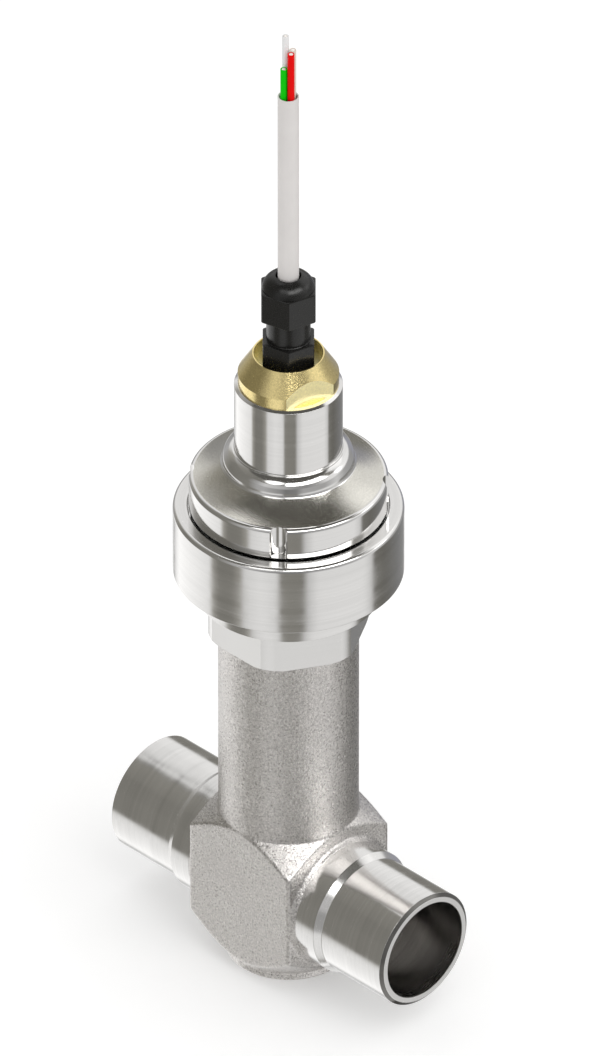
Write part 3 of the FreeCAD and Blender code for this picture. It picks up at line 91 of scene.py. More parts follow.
def make_cable(material):
    """The jacket of the cable, standing straight up out of the gland, as a free cord."""
    line = bpy.data.curves.new("cable", "CURVE")
    line.dimensions = "3D"
    line.bevel_depth = CABLE_R * MM
    line.bevel_resolution = 12
    line.resolution_u = 8
    spline = line.splines.new("NURBS")
    heights = np.linspace(CABLE_FOOT, CABLE_END - TUBE_SHORT, ROUTE_POINTS)
    spline.points.add(len(heights) - 1)
    for point, height in zip(spline.points, heights):
        point.co = (0, 0, height * MM, 1)
    spline.order_u = 3
    spline.use_endpoint_u = True
    cable = bpy.data.objects.new("cable", line)
    bpy.context.scene.collection.objects.link(cable)
    line.materials.append(material)
    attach(cable, "valve")
    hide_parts("cable_jacket")
    return cable


# Node helpers

NOISE_LOW, NOISE_HIGH = 0.3, 0.7
GRAIN_ROUGHNESS = 0.55
HAZE_SCALE = 60.0
PLASTIC_SWING = 0.05
TURN_SHARE = 0.0001
LEVEL_SQUEEZE = 0.004


def node(tree, kind, inputs=None, **settings):
    """A shader node with its settings, and with its inputs linked or set."""
    made = tree.nodes.new(kind)
    for key, value in settings.items():
        setattr(made, key, value)
    for key, value in (inputs or {}).items():
        if isinstance(value, bpy.types.NodeSocket):
            tree.links.new(value, made.inputs[key])
        else:
            made.inputs[key].default_value = value
    return made


def maths(tree, operation, first, second=0.0):
    """The output of one Math node."""
    return node(tree, "ShaderNodeMath", {0: first, 1: second}, operation=operation).outputs[0]


def weighted(tree, first, share, second):
    """The mean of two values, where share is the first one's weight."""
    near = maths(tree, "MULTIPLY", first, share)
    return maths(tree, "ADD", near, maths(tree, "MULTIPLY", second, 1 - share))


def ranged(tree, value, low, high, to_low=0.0, to_high=1.0, smooth=False):
    """The output of one Map Range node."""
    kind = "SMOOTHSTEP" if smooth else "LINEAR"
    sockets = {"Value": value, "From Min": low, "From Max": high, "To Min": to_low, "To Max": to_high}
    return node(tree, "ShaderNodeMapRange", sockets, interpolation_type=kind).outputs[0]


def spread_out(tree, value, to_low=0.0, to_high=1.0):
    """A noise's usual range stretched to another one."""
    return ranged(tree, value, NOISE_LOW, NOISE_HIGH, to_low, to_high)


def mixed(tree, factor, first, second):
    """The colour output of one Mix node."""
    made = node(tree, "ShaderNodeMix", data_type="RGBA")
    for index, value in ((0, factor), (6, first), (7, second)):
        if isinstance(value, bpy.types.NodeSocket):
            tree.links.new(value, made.inputs[index])
        else:
            made.inputs[index].default_value = value
    return made.outputs[2]


def grain(tree, vector, scale, detail=2.0):
    """The value of one Noise Texture."""
    sockets = {"Vector": vector, "Scale": scale, "Detail": detail, "Roughness": GRAIN_ROUGHNESS}
    return node(tree, "ShaderNodeTexNoise", sockets).outputs[0]


def raised(tree, height, depth, below=None):
    """The normal from one Bump node as deep as depth, over another normal where one is given."""
    sockets = {"Strength": 1.0, "Distance": depth * MM, "Height": height}
    if below is not None:
        sockets["Normal"] = below
    return node(tree, "ShaderNodeBump", sockets).outputs[0]


def object_vector(tree):
    """The place on the object itself."""
    return node(tree, "ShaderNodeTexCoord").outputs["Object"]


def ring_vector(tree, axis):
    """Distance from the axis, place along it and a little of the angle, so that noise runs in rings."""
    parts = node(tree, "ShaderNodeSeparateXYZ", {0: object_vector(tree)}).outputs
    if axis == "Z":
        across, side, along = parts[0], parts[1], parts[2]
    else:
        across, side, along = parts[1], maths(tree, "SUBTRACT", parts[2], PIPE_HEIGHT * MM), parts[0]
    squares = [maths(tree, "MULTIPLY", part, part) for part in (across, side)]
    radius = maths(tree, "SQRT", maths(tree, "ADD", *squares))
    angle = maths(tree, "MULTIPLY", maths(tree, "ARCTAN2", side, across), TURN_SHARE)
    return node(tree, "ShaderNodeCombineXYZ", {0: radius, 1: along, 2: angle}).outputs[0]


def flat_vector(tree):
    """Height in full and the rest shrunk, so that noise runs in level lines."""
    sockets = {"Vector": object_vector(tree), "Scale": (LEVEL_SQUEEZE, LEVEL_SQUEEZE, 1.0)}
    return node(tree, "ShaderNodeMapping", sockets).outputs[0]


# Materials

def new_material(name, **settings):
    """A material with a Principled shader; the settings are constants on its own sockets."""
    material = bpy.data.materials.new(name)
    material.use_nodes = True
    tree = material.node_tree
    shader = tree.nodes["Principled BSDF"]
    for key, value in settings.items():
        shader.inputs[key.replace("_", " ").title().replace("Ior", "IOR")].default_value = value
    return material, tree, shader


def shaded(colour, shades):
    """A colour a little darker and a little lighter."""
    dark = [channel * (1 - shades) for channel in colour] + [1]
    light = [min(channel * (1 + shades), 1) for channel in colour] + [1]
    return dark, light


def metal(name, colour, roughness, vector, lines, bumps, shades, swing=0.05):
    """A metal whose tint, roughness and surface follow two sizes of noise laid out by vector.

    lines and bumps are the scale and the depth of the coarse noise and of the fine one. shades
    and swing are how far tint and roughness go either way.
    """
    material, tree, shader = new_material(name, metallic=1.0)
    place = vector(tree)
    coarse = grain(tree, place, lines[0])
    fine = grain(tree, place, lines[1], 3.0)
    cloud = grain(tree, object_vector(tree), HAZE_SCALE)
    tone = spread_out(tree, weighted(tree, coarse, 0.6, fine))
    tree.links.new(mixed(tree, tone, *shaded(colour, shades)), shader.inputs["Base Color"])
    rough = spread_out(tree, weighted(tree, cloud, 0.3, coarse), roughness - swing, roughness + swing)
    tree.links.new(rough, shader.inputs["Roughness"])
    surface = raised(tree, fine, bumps[1], raised(tree, coarse, bumps[0]))
    tree.links.new(surface, shader.inputs["Normal"])
    return material


def plastic(name, colour, roughness, scale=900.0, bump=0.01, shades=0.06, **settings):
    """A moulded or extruded plastic with faint mottling and grain."""
    material, tree, shader = new_material(name, **settings)
    place = object_vector(tree)
    cloud = grain(tree, place, scale / 8)
    fine = grain(tree, place, scale, 4.0)
    tint = mixed(tree, spread_out(tree, cloud), *shaded(colour, shades))
    tree.links.new(tint, shader.inputs["Base Color"])
    rough = spread_out(tree, fine, roughness - PLASTIC_SWING, roughness + PLASTIC_SWING)
    tree.links.new(rough, shader.inputs["Roughness"])
    tree.links.new(raised(tree, fine, bump), shader.inputs["Normal"])
    return material


def make_materials():
    """Every material, under the short name that the rest of the script uses."""
    rings = lambda tree: ring_vector(tree, "Z")
    pipe_rings = lambda tree: ring_vector(tree, "X")
    steel = (0.70, 0.693, 0.683)
    metals = {
        "cast": metal("cast_stainless", (0.62, 0.598, 0.58), 0.29, object_vector,
                      lines=(1500, 3000), bumps=(0.15, 0.08), shades=0.4),
        "turned": metal("turned_stainless", steel, 0.15, rings,
                        lines=(320, 2600), bumps=(0.001, 0.0012), shades=0.07, swing=0.09),
        "pipe": metal("turned_pipe", steel, 0.15, pipe_rings,
                      lines=(260, 2000), bumps=(0.001, 0.0012), shades=0.08, swing=0.08),
        # The steel inside the pipe ends is painted darker than the outside steel: painted shade.
        "bore": metal("bored_steel_painted_shade", (0.38, 0.37, 0.355), 0.25, pipe_rings,
                      lines=(300, 1600), bumps=(0.004, 0.002), shades=0.2),
        # The chamfer at the pipe ends is painted near black: a painted dark reflection, not the steel's
        # own colour.
        "bevel": metal("weld_bevel", (0.2, 0.195, 0.185), 0.13, pipe_rings,
                       lines=(300, 1600), bumps=(0.004, 0.002), shades=0.15, swing=0.03),
        "brushed": metal("brushed_stainless", steel, 0.2, flat_vector,
                         lines=(900, 3200), bumps=(0.0016, 0.0014), shades=0.03, swing=0.03),
        "polished": metal("polished_stainless", steel, 0.1, rings,
                          lines=(320, 2000), bumps=(0.0005, 0.0005), shades=0.05, swing=0.07),
        "grainy": metal("grainy_stainless", (0.6, 0.585, 0.54), 0.18, object_vector,
                        lines=(2400, 5200), bumps=(0.02, 0.02), shades=0.14),
        "inner": metal("machined_inside", (0.6, 0.6, 0.6), 0.3, rings,
                       lines=(500, 2600), bumps=(0.004, 0.002), shades=0.06),
        "bearing": metal("ground_steel", (0.75, 0.75, 0.76), 0.12, object_vector,
                         lines=(400, 2600), bumps=(0.001, 0.001), shades=0.03, swing=0.03),
        "brass": metal("turned_brass", (0.80, 0.66, 0.31), 0.13, object_vector,
                       lines=(1800, 4200), bumps=(0.02, 0.02), shades=0.16),
        # The flat faces and the recess are rougher for real; their lighter, paler tint is painted light.
        "brass_flat_painted_light": metal("milled_brass_painted_light", (0.88, 0.78, 0.43), 0.42, object_vector,
                            lines=(1500, 3600), bumps=(0.045, 0.03), shades=0.16),
        "copper": metal("lacquered_copper", (0.72, 0.36, 0.2), 0.3, rings,
                        lines=(1500, 4000), bumps=(0.03, 0.01), shades=0.1),
        "tin": metal("tinned_strands", (0.93, 0.88, 0.84), 0.35, object_vector,
                     lines=(2600, 5000), bumps=(0.05, 0.02), shades=0.1),
    }
    plastics = {
        "magnet": plastic("sintered_magnet", (0.06, 0.06, 0.065), 0.5, 2400, 0.02, 0.2),
        "black": plastic("black_nylon", (0.009, 0.0087, 0.008), 0.27, 1500, 0.002, 0.1, ior=1.42),
        "rubber": plastic("black_rubber", (0.03, 0.03, 0.03), 0.6, 2200, 0.02, 0.15),
        "gasket": plastic("pressed_fibre", (0.36, 0.38, 0.37), 0.7, 2600, 0.03, 0.2),
        "white_part": plastic("white_moulding", (0.8, 0.8, 0.78), 0.4),
        "glass": plastic("sealing_glass", (0.12, 0.2, 0.17), 0.1, 600, 0.002, 0.1),
        "jacket": plastic("grey_jacket", (0.70, 0.675, 0.66), 0.5, 1200, 0.01, 0.02),
    }
    insulation = {
        "red": ((0.78, 0.001, 0.001), 0.04),
        "green": ((0.002, 0.56, 0.002), 0.04),
        "white": ((0.80, 0.80, 0.80), 0.02),
        "grey": ((0.76, 0.66, 0.58), 0.02),
    }
    cores = {
        key: plastic(f"{key}_insulation", colour, 0.4, 1200, 0.006, shades, specular_ior_level=0.08)
        for key, (colour, shades) in insulation.items()
    }
    return {**metals, **plastics, **cores}


SLOT_MATERIALS = {
    "cast_steel": "cast", "turned_steel": "turned", "polished_steel": "polished", "inner_steel": "inner",
    "bearing_steel": "bearing", "brass": "brass", "black_plastic": "black", "rubber": "rubber",
    "gasket": "gasket", "white_plastic": "white_part", "magnet": "magnet", "copper": "copper",
    "sealing_glass": "glass", "jacket": "jacket", "red_insulation": "red", "green_insulation": "green",
    "white_insulation": "white", "grey_insulation": "grey",
}


# Profiles and skins

ARC_STEP_ANGLE = math.radians(7)
ARC_STEP = 0.5

# How near two points have to be to become one, in metres as Blender takes it.
MERGE_SKIN, MERGE_CAD = 2e-7, 1e-6


def arc(start, end, radius, side):
    """Points on the short arc from start to end, without its first one."""
    (r0, z0), (r1, z1) = start, end
    chord = math.hypot(r1 - r0, z1 - z0)
    rise = math.sqrt(max(radius ** 2 - chord ** 2 / 4, 0))
    turn = 1 if side == "left" else -1
    centre_r = (r0 + r1) / 2 - turn * (z1 - z0) / chord * rise
    centre_z = (z0 + z1) / 2 + turn * (r1 - r0) / chord * rise
    first = math.atan2(z0 - centre_z, r0 - centre_r)
    sweep = 2 * math.asin(min(chord / 2 / radius, 1)) * turn
    steps = max(4, math.ceil(abs(sweep) / ARC_STEP_ANGLE), math.ceil(abs(sweep) * radius / ARC_STEP))
    angles = [first + sweep * (index + 1) / steps for index in range(steps)]
    return [(centre_r + radius * math.cos(a), centre_z + radius * math.sin(a)) for a in angles]


def straight(start, end):
    """The end of a straight run, and before it the rows that hold the shading at both ends."""
    length = math.hypot(end[0] - start[0], end[1] - start[1])
    if length < 4 * HOLD:
        return [end]
    places = (HOLD / length, 1 - HOLD / length, 1)
    return [tuple(s + (e - s) * t for s, e in zip(start, end)) for t in places]


def eased(points):
    """Turns each corner marked "ease" into a small round."""
    out = []
    for index, point in enumerate(points):
        if len(point) > 2 and point[2] == "ease":
            here, radius = Vector(point[:2]), point[3]
            before = (here - Vector(points[index - 1][:2])).normalized()
            after = (Vector(points[index + 1][:2]) - here).normalized()
            turn = before.angle_signed(after)
            cut = radius * math.tan(abs(turn) / 2)
            out.append(tuple(here - before * cut))
            out.append((*(here + after * cut), "right" if turn > 0 else "left", radius))
        else:
            out.append(point)
    return out


def trace(points):
    """The rows of a profile.

    A point is (r, z), (r, z, "left" or "right", radius) for an arc that ends there, or
    (r, z, "ease", radius) for a rounded corner.
    """
    points = eased(points)
    rows = [tuple(points[0][:2])]
    for point in points[1:]:
        end = tuple(point[:2])
        rows += arc(rows[-1], end, point[3], point[2]) if len(point) > 2 else straight(rows[-1], end)
    return rows


def even_angles(count):
    """Angles all the way round."""
    return [2 * math.pi * index / count for index in range(count)]


def about_z(r, angle, along):
    """Places a profile round the valve's upright axis."""
    return (r * math.cos(angle) * MM, r * math.sin(angle) * MM, along * MM)


def about_pipe(side):
    """Places a profile round the pipe axis, on the outlet's side or the inlet's."""
    def place(r, angle, along):
        height = PIPE_HEIGHT + side * r * math.sin(angle)
        return (side * along * MM, r * math.cos(angle) * MM, height * MM)
    return place


def beside_z(x, y):
    """Places a profile round an upright axis through (x, y)."""
    def place(r, angle, along):
        return ((x + r * math.cos(angle)) * MM, (y + r * math.sin(angle)) * MM, along * MM)
    return place


def merged(mesh, distance):
    """Joins the mesh's points that lie within distance of each other."""
    shape = bmesh.new()
    shape.from_mesh(mesh)
    bmesh.ops.remove_doubles(shape, verts=shape.verts, dist=distance)
    shape.to_mesh(mesh)
    shape.free()


def finish_piece(name, mesh, sharp=SHARP_ANGLE):
    """Smooth shading between sharp edges, and a piece that rides on the valve."""
    mesh.shade_smooth()
    mesh.set_sharp_from_angle(angle=sharp)
    piece = bpy.data.objects.new(name, mesh)
    bpy.context.scene.collection.objects.link(piece)
    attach(piece, "valve")
    return piece


def skin(name, angles, columns, material, place=about_z, looks=(), sharp=SHARP_ANGLE):
    """A closed skin from one column of (r, along) rows for each angle round the axis.

    looks are (first row, last row, material): those rows' faces take that material instead.
    """
    rows = len(columns[0])
    verts = [place(r, angle, along) for angle, column in zip(angles, columns) for r, along in column]
    faces, indices = [], []
    for column in range(len(columns)):
        first, second = column * rows, (column + 1) % len(columns) * rows
        for row in range(rows - 1):
            faces.append((first + row, second + row, second + row + 1, first + row + 1))
            found = [index + 1 for index, (low, high, _) in enumerate(looks) if low <= row < high]
            indices.append(found[0] if found else 0)
    mesh = bpy.data.meshes.new(name)
    mesh.from_pydata(verts, [], faces)
    mesh.polygons.foreach_set("material_index", indices)
    for item in [material] + [look[2] for look in looks]:
        mesh.materials.append(item)
    merged(mesh, MERGE_SKIN)
    return finish_piece(name, mesh, sharp)


def lathe(name, points, material, count, place=about_z):
    """A turned piece with this many columns round it."""
    return skin(name, even_angles(count), [trace(points)] * count, material, place)


def relook(piece, material, chosen):
    """Gives another material to the faces that chosen(middle in mm, normal) picks."""
    piece.data.materials.append(material)
    for polygon in piece.data.polygons:
        if chosen(polygon.center / MM, polygon.normal):
            polygon.material_index = len(piece.data.materials) - 1


def wrench_angles(flats, first, limit, steps=(2.0, 1.0)):
    """Angles round a piece with flats, and each one's angle from the middle of its flat.

    The flats end at limit, and steps are the spacings on a flat and over a turned corner.
    """
    half = 180 / flats
    spread = {limit, -limit, -half}
    spread.update(np.arange(-math.floor(limit), limit, steps[0]))
    corner = np.arange(limit, half, steps[1])
    spread.update(corner)
    spread.update(-corner)
    spread = sorted(round(float(value), 5) for value in spread)
    pairs = [(first + index * 360 / flats + value, value) for index in range(flats) for value in spread]
    pairs = sorted({round(a % 360, 5): value for a, value in pairs}.items())
    return [math.radians(a) for a, _ in pairs], [math.radians(value) for _, value in pairs]


# Casting and pipe ends

STUB_R, STUB_START, STUB_END = 18.7, 21.2, 28.5
PIPE_R, PIPE_START, PIPE_END = 17.45, 30.5, 54.3
BORE_R, BORE_START = 14.75, 27.0
BEVEL_WIDTH, BEVEL_DEPTH = 1.1, 0.8
SLEEVE_R = 18.0
UNDER_SLEEVE = 0.1
CAST_EDGE, CAST_EDGE_WIDTH = 21.7, 0.7
CAST_EDGE_WAVES = ((0.45, 260), (0.2, 900))
CAST_WALL = 1.5
CAST_VOXEL = 0.4
CAST_LUMP_SIZE, CAST_LUMP_HEIGHT = 2.2, 0.09


def remeshed_casting():
    """The CAD body's mesh with its edges worn round and its skin uneven as cast."""
    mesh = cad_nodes["valve_body"].data.copy()
    mesh.materials.clear()
    merged(mesh, MERGE_CAD)
    casting = bpy.data.objects.new("casting_raw", mesh)
    bpy.context.scene.collection.objects.link(casting)
    remesh = casting.modifiers.new("remesh", "REMESH")
    remesh.mode = "VOXEL"
    remesh.voxel_size = CAST_VOXEL * MM
    smooth = casting.modifiers.new("smooth", "SMOOTH")
    smooth.factor = 0.5
    smooth.iterations = 2
    lumps = bpy.data.textures.new("cast_skin", "CLOUDS")
    lumps.noise_scale = CAST_LUMP_SIZE * MM
    lumps.noise_depth = 2
    displace = casting.modifiers.new("skin", "DISPLACE")
    displace.texture = lumps
    displace.texture_coords = "LOCAL"
    displace.strength = CAST_LUMP_HEIGHT * MM
    displace.mid_level = 0.5
    ready = casting.evaluated_get(bpy.context.evaluated_depsgraph_get())
    made = bpy.data.meshes.new_from_object(ready)
    bpy.data.objects.remove(casting)
    return made


def make_casting(look):
    """The cast body, cut off inside the pipe ends and drawn in under their machined sleeves."""
    made = remeshed_casting()
    shape = bmesh.new()
    shape.from_mesh(made)
    for side in (1, -1):
        geometry = list(shape.verts) + list(shape.edges) + list(shape.faces)
        cut = (side * BORE_START * MM, 0, 0)
        bmesh.ops.bisect_plane(shape, geom=geometry, plane_co=cut, plane_no=(side, 0, 0), clear_outer=True)
    axis = Vector((0, PIPE_HEIGHT * MM))
    for vert in shape.verts:
        if abs(vert.co.x) < (CAST_EDGE - 1) * MM:
            continue
        arm = Vector((vert.co.y, vert.co.z)) - axis
        if arm.length < (BORE_R + CAST_WALL) * MM:
            continue
        edge = CAST_EDGE + sum(height * noise.noise(vert.co * scale) for height, scale in CAST_EDGE_WAVES)
        share = min(max((abs(vert.co.x) / MM - edge) / CAST_EDGE_WIDTH + 0.5, 0), 1)
        length = arm.length * (1 - share) + (SLEEVE_R - UNDER_SLEEVE) * MM * share
        arm = axis + arm.normalized() * min(length, arm.length)
        vert.co.y, vert.co.z = arm
    shape.to_mesh(made)
    shape.free()
    made.materials.clear()
    made.materials.append(look)
    piece = finish_piece("valve_casting", made, math.radians(50))
    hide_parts("valve_body")


def make_pipe_end(name, side, look, shaded_bore_look, dark_bevel_look):
    """A machined boss and pipe end on the casting."""
    pipe = lathe(name, [
        (SLEEVE_R, STUB_START),
        (STUB_R, STUB_START, "ease", 0.2),
        (STUB_R, STUB_END, "ease", 0.25),
        (PIPE_R, PIPE_START, "ease", 0.4),
        (PIPE_R, PIPE_END - BEVEL_DEPTH, "ease", 0.12),
        (PIPE_R - BEVEL_WIDTH, PIPE_END, "ease", 0.12),
        (BORE_R, PIPE_END, "ease", 0.2),
        (BORE_R, BORE_START),
        (SLEEVE_R, BORE_START),
        (SLEEVE_R, STUB_START),
    ], look, 240, about_pipe(side))

    def in_bore(middle, normal):
        return math.hypot(middle.y, middle.z - PIPE_HEIGHT) < BORE_R + 0.15

    def on_bevel(middle, normal):
        return abs(normal.x) > 0.3 and PIPE_END - BEVEL_DEPTH < abs(middle.x) < PIPE_END - 0.05

    # The faces inside the pipe ends take the darker steel, which is painted shade.
    relook(pipe, shaded_bore_look, in_bore)
    # The chamfer faces take the near-black steel, which is a painted dark reflection.
    relook(pipe, dark_bevel_look, on_bevel)


# Bonnet

HEX_FLAT, HEX_CORNER, HEX_FACE = 20.75, 22.9, 21.8
HEX_LOW, HEX_HIGH = 110.4, 123.6
HEX_BEVEL, HEX_BEVEL_ROWS = 0.635, 6
HEX_BORE_R = 17.0
COLLAR_R, COLLAR_TOP = 26.3, 130.9
RING_FOOT_R, RING_LOW = 32.1, 131.3
RING_R, RING_TOP, RING_ROUND = 32.5, 152.7, 1.3
MOUTH_R, MOUTH_TOP_R, MOUTH_ROUND = 28.3, 28.6, 0.3
MOUTH_FLOOR, MOUTH_FLOOR_R = 149.0, 26.05


def make_bonnet(turned, brushed):
    """Wrench hexagon with turned corners, collar and large ring."""
    limit = math.degrees(math.acos(HEX_FLAT / HEX_CORNER))
    angles, offsets = wrench_angles(6, 30, limit)
    upper = trace([
        (HEX_CORNER, HEX_HIGH),
        (COLLAR_R, HEX_HIGH, "ease", 0.2),
        (COLLAR_R, COLLAR_TOP),
        (RING_FOOT_R, COLLAR_TOP, "ease", 0.1),
        (RING_R, RING_LOW, "ease", 0.1),
        (RING_R, RING_TOP - RING_ROUND),
        (RING_R - RING_ROUND, RING_TOP, "left", RING_ROUND),
        (MOUTH_TOP_R, RING_TOP),
        (MOUTH_R, RING_TOP - MOUTH_ROUND, "left", MOUTH_ROUND),
        (MOUTH_R, MOUTH_FLOOR),
        (MOUTH_FLOOR_R, MOUTH_FLOOR),
    ])[1:]
    columns = []
    for offset in offsets:
        flat = HEX_FLAT / math.cos(offset)
        cross = min(max((flat - HEX_FACE) / (HEX_CORNER - HEX_FACE), 0), 1) * HEX_BEVEL
        outer = min(flat, HEX_CORNER)
        column = [(HEX_BORE_R, HEX_LOW)]
        for step in range(HEX_BEVEL_ROWS + 1):
            rise = cross * step / HEX_BEVEL_ROWS
            bevel = HEX_FACE + (HEX_CORNER - HEX_FACE) * rise / HEX_BEVEL
            column.append((min(outer, bevel), HEX_LOW + rise))
        column += straight((outer, HEX_LOW + cross), (outer, HEX_HIGH))
        columns.append(column + upper)
    bonnet = skin(
        "bonnet_shell", angles, columns, turned,
        looks=[(HEX_BEVEL_ROWS + 1, HEX_BEVEL_ROWS + 4, brushed)],
    )
    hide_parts("bonnet")


# Motor housing

DISC_R, DISC_LOW = 28.0, 153.2
DISC_RIM, DISC_ROUND = 163.0, 1.3
FOOT_R, FOOT_LOW, FOOT_ROUND = 27.5, 151.5, 0.5
NOTCH_R, NOTCH_CENTRE, NOTCH_TURN = 2.92, 29.42, 39.3
NOTCH_COLUMNS, DISC_SPACING, AWAY_FROM_NOTCH = 25, 1.5, 45.0
FLARE_FOOT_R, FLARE_TOP_R, FLARE_TOP, FLARE_ROUND, FLARE_ROWS = 26.7, 19.1, 167.5, 34.0, 30
SHOULDER_R, CREASE, CREASE_ROUND = 18.6, 168.5, 1.3
SHOULDER_HIGH_R, SHOULDER_TOP, SHOULDER_ROUND = 15.9, 172.6, 4.6
NECK_R, NECK_TOP, NECK_ROUND, NECK_CHAMFER = 15.25, 194.3, 0.25, 0.5
NECK_BORE_R, NECK_BORE_DEPTH = 13.05, 3
BAND_R = 14.2


def notch_radius(offset):
    """How far from the axis the disc reaches at this angle from a notch's middle."""
    across = NOTCH_R ** 2 - (NOTCH_CENTRE * math.sin(offset)) ** 2
    return NOTCH_CENTRE * math.cos(offset) - math.sqrt(across) if across > 0 else DISC_R


def notch_angles():
    """Angles round the disc, close together in the notches, and each one's angle from its notch."""
    cosine = (NOTCH_CENTRE ** 2 + DISC_R ** 2 - NOTCH_R ** 2) / (2 * NOTCH_CENTRE * DISC_R)
    spread = math.degrees(math.acos(cosine))
    pairs = {}
    for index in range(4):
        middle = NOTCH_TURN + 90 * index
        for value in np.linspace(-spread, spread, NOTCH_COLUMNS):
            pairs[round((middle + value) % 360, 5)] = float(value)
        for value in np.arange(spread + DISC_SPACING, 90 - spread - 0.5, DISC_SPACING):
            pairs[round((middle + value) % 360, 5)] = AWAY_FROM_NOTCH
    return [math.radians(a) for a in sorted(pairs)], [math.radians(pairs[a]) for a in sorted(pairs)]


def make_housing(polished, grainy):
    """The bell: disc with four spanner notches, hollow flare, rounded shoulder and neck."""
    angles, offsets = notch_angles()
    rim = trace([
        (FOOT_R, DISC_LOW),
        (DISC_R, DISC_LOW + FOOT_ROUND, "left", FOOT_ROUND),
        (DISC_R, DISC_RIM - DISC_ROUND),
        (FLARE_FOOT_R, DISC_RIM, "left", DISC_ROUND),
    ])
    foot = (FLARE_FOOT_R, DISC_RIM)
    flare = [foot] + arc(foot, (FLARE_TOP_R, FLARE_TOP), FLARE_ROUND, "right")
    flare_r, flare_z = [row[0] for row in flare][::-1], [row[1] for row in flare][::-1]
    upper = trace([
        (FLARE_TOP_R, FLARE_TOP),
        (SHOULDER_R, CREASE, "right", CREASE_ROUND),
        (SHOULDER_HIGH_R, SHOULDER_TOP, "left", SHOULDER_ROUND),
        (NECK_R + NECK_ROUND, SHOULDER_TOP),
        (NECK_R, SHOULDER_TOP + NECK_ROUND, "right", NECK_ROUND),
        (NECK_R, NECK_TOP - NECK_CHAMFER, "ease", 0.1),
        (BAND_R + 0.15, NECK_TOP, "ease", 0.1),
        (NECK_BORE_R, NECK_TOP),
        (NECK_BORE_R, NECK_TOP - NECK_BORE_DEPTH),
    ])[1:]
    columns = []
    for offset in offsets:
        reach = notch_radius(offset)
        column = [(FOOT_R, FOOT_LOW), (FOOT_R, DISC_LOW - HOLD), (FOOT_R, DISC_LOW)]
        column += [(min(r, reach), z) for r, z in rim]
        for r in np.linspace(min(FLARE_FOOT_R, reach), FLARE_TOP_R, FLARE_ROWS):
            column.append((float(r), float(np.interp(r, flare_r, flare_z))))
        columns.append(column + upper)
    flare_first = 2 + len(rim)
    housing = skin(
        "motor_bell", angles, columns, polished,
        looks=[(flare_first + 1, flare_first + FLARE_ROWS, grainy)],
    )
    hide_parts("motor_housing")


# Brass adapter and gland

ADAPTER_FLAT, BAND_TOP, BAND_BORE_R = 12.0, 197.8, 13.0
CONE_TOP_R, CONE_TOP = 10.1, 204.3
RECESS_R, RECESS_FLOOR, RECESS_HOLE_R = 9.7, 200.5, 6.1
FLAT_ROWS, CONE_ROWS = 10, 12
FLATS_TURN = -15
BODY_WIDTH, BODY_CORNER, BODY_LOW, BODY_HIGH = 14.4, 8.2, 201.7, 209.6
BODY_NECK_R, BODY_NECK_TOP = 6.2, 219.0
NUT_WIDTH, NUT_CORNER, NUT_LOW, NUT_HIGH = 15.2, 8.64, 217.3, 226.7
NUT_BORE_R = 6.3
DOME_FOOT_R, DOME_TOP_R, DOME_TOP, DOME_ROUND = 7.5, 3.75, 230.55, 4.9
DOME_HOLE_R = 3.55
HEXAGON_EDGE = 0.25


def make_adapter(turned, flat_lit_look):
    """The band and cone with two spanner flats, whose edges on the cone are true curves."""
    limit = math.degrees(math.acos(ADAPTER_FLAT / BAND_R))
    angles, offsets = wrench_angles(2, FLATS_TURN, limit, (1.5, 2.0))
    inner = trace([
        (CONE_TOP_R, CONE_TOP),
        (RECESS_R, CONE_TOP, "ease", 0.1),
        (RECESS_R, RECESS_FLOOR),
        (RECESS_HOLE_R, RECESS_FLOOR),
    ])[1:]
    columns = []
    for offset in offsets:
        flat = ADAPTER_FLAT / max(math.cos(offset), 0.2)
        outer = min(flat, BAND_R)
        cut = min(max((BAND_R - flat) / (BAND_R - CONE_TOP_R), 0), 1)
        cross = BAND_TOP + (CONE_TOP - BAND_TOP) * cut
        column = [(BAND_BORE_R, NECK_TOP), (outer, NECK_TOP), (outer, NECK_TOP + HOLD), (outer, BAND_TOP)]
        for step in range(FLAT_ROWS):
            column.append((outer, BAND_TOP + (cross - BAND_TOP) * (step + 1) / FLAT_ROWS))
        for step in range(CONE_ROWS):
            height = cross + (CONE_TOP - cross) * (step + 1) / CONE_ROWS
            share = (height - BAND_TOP) / (CONE_TOP - BAND_TOP)
            column.append((BAND_R + (CONE_TOP_R - BAND_R) * share, height))
        columns.append(column + inner)
    adapter = skin("adapter_cone", angles, columns, turned, sharp=math.radians(12))
    flat_x, flat_y = math.cos(math.radians(FLATS_TURN)), math.sin(math.radians(FLATS_TURN))

    def on_flat_or_in_recess(middle, normal):
        along = abs(normal.x * flat_x + normal.y * flat_y)
        on_flat = along > 0.9995 and abs(normal.z) < 0.02 and middle.z > NECK_TOP
        return on_flat or middle.xy.length < RECESS_R + 0.02

    # The flats and the recess take the lighter brass: a real rougher finish, with painted light in its
    # tint.
    relook(adapter, flat_lit_look, on_flat_or_in_recess)
    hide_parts("brass_adapter")


def hexagon(name, width, corner, rows_below, low, high, rows_above, look):
    """A six-sided plastic piece with slightly rounded corners, between turned rows below and above."""
    limit = math.degrees(math.acos(width / 2 / corner))
    angles, offsets = wrench_angles(6, FLATS_TURN, limit, (4.0, 0.5))
    columns = []
    edge, part = HEXAGON_EDGE, HEXAGON_EDGE * 0.3
    for offset in offsets:
        outer = min(width / 2 / math.cos(offset), corner)
        column = rows_below + [(outer - edge, low), (outer - part, low + part), (outer, low + edge)]
        column += straight((outer, low + edge), (outer, high - edge))
        column += [(outer - part, high - part), (outer - edge, high)]
        columns.append(column + rows_above)
    return skin(name, angles, columns, look, sharp=math.radians(28))


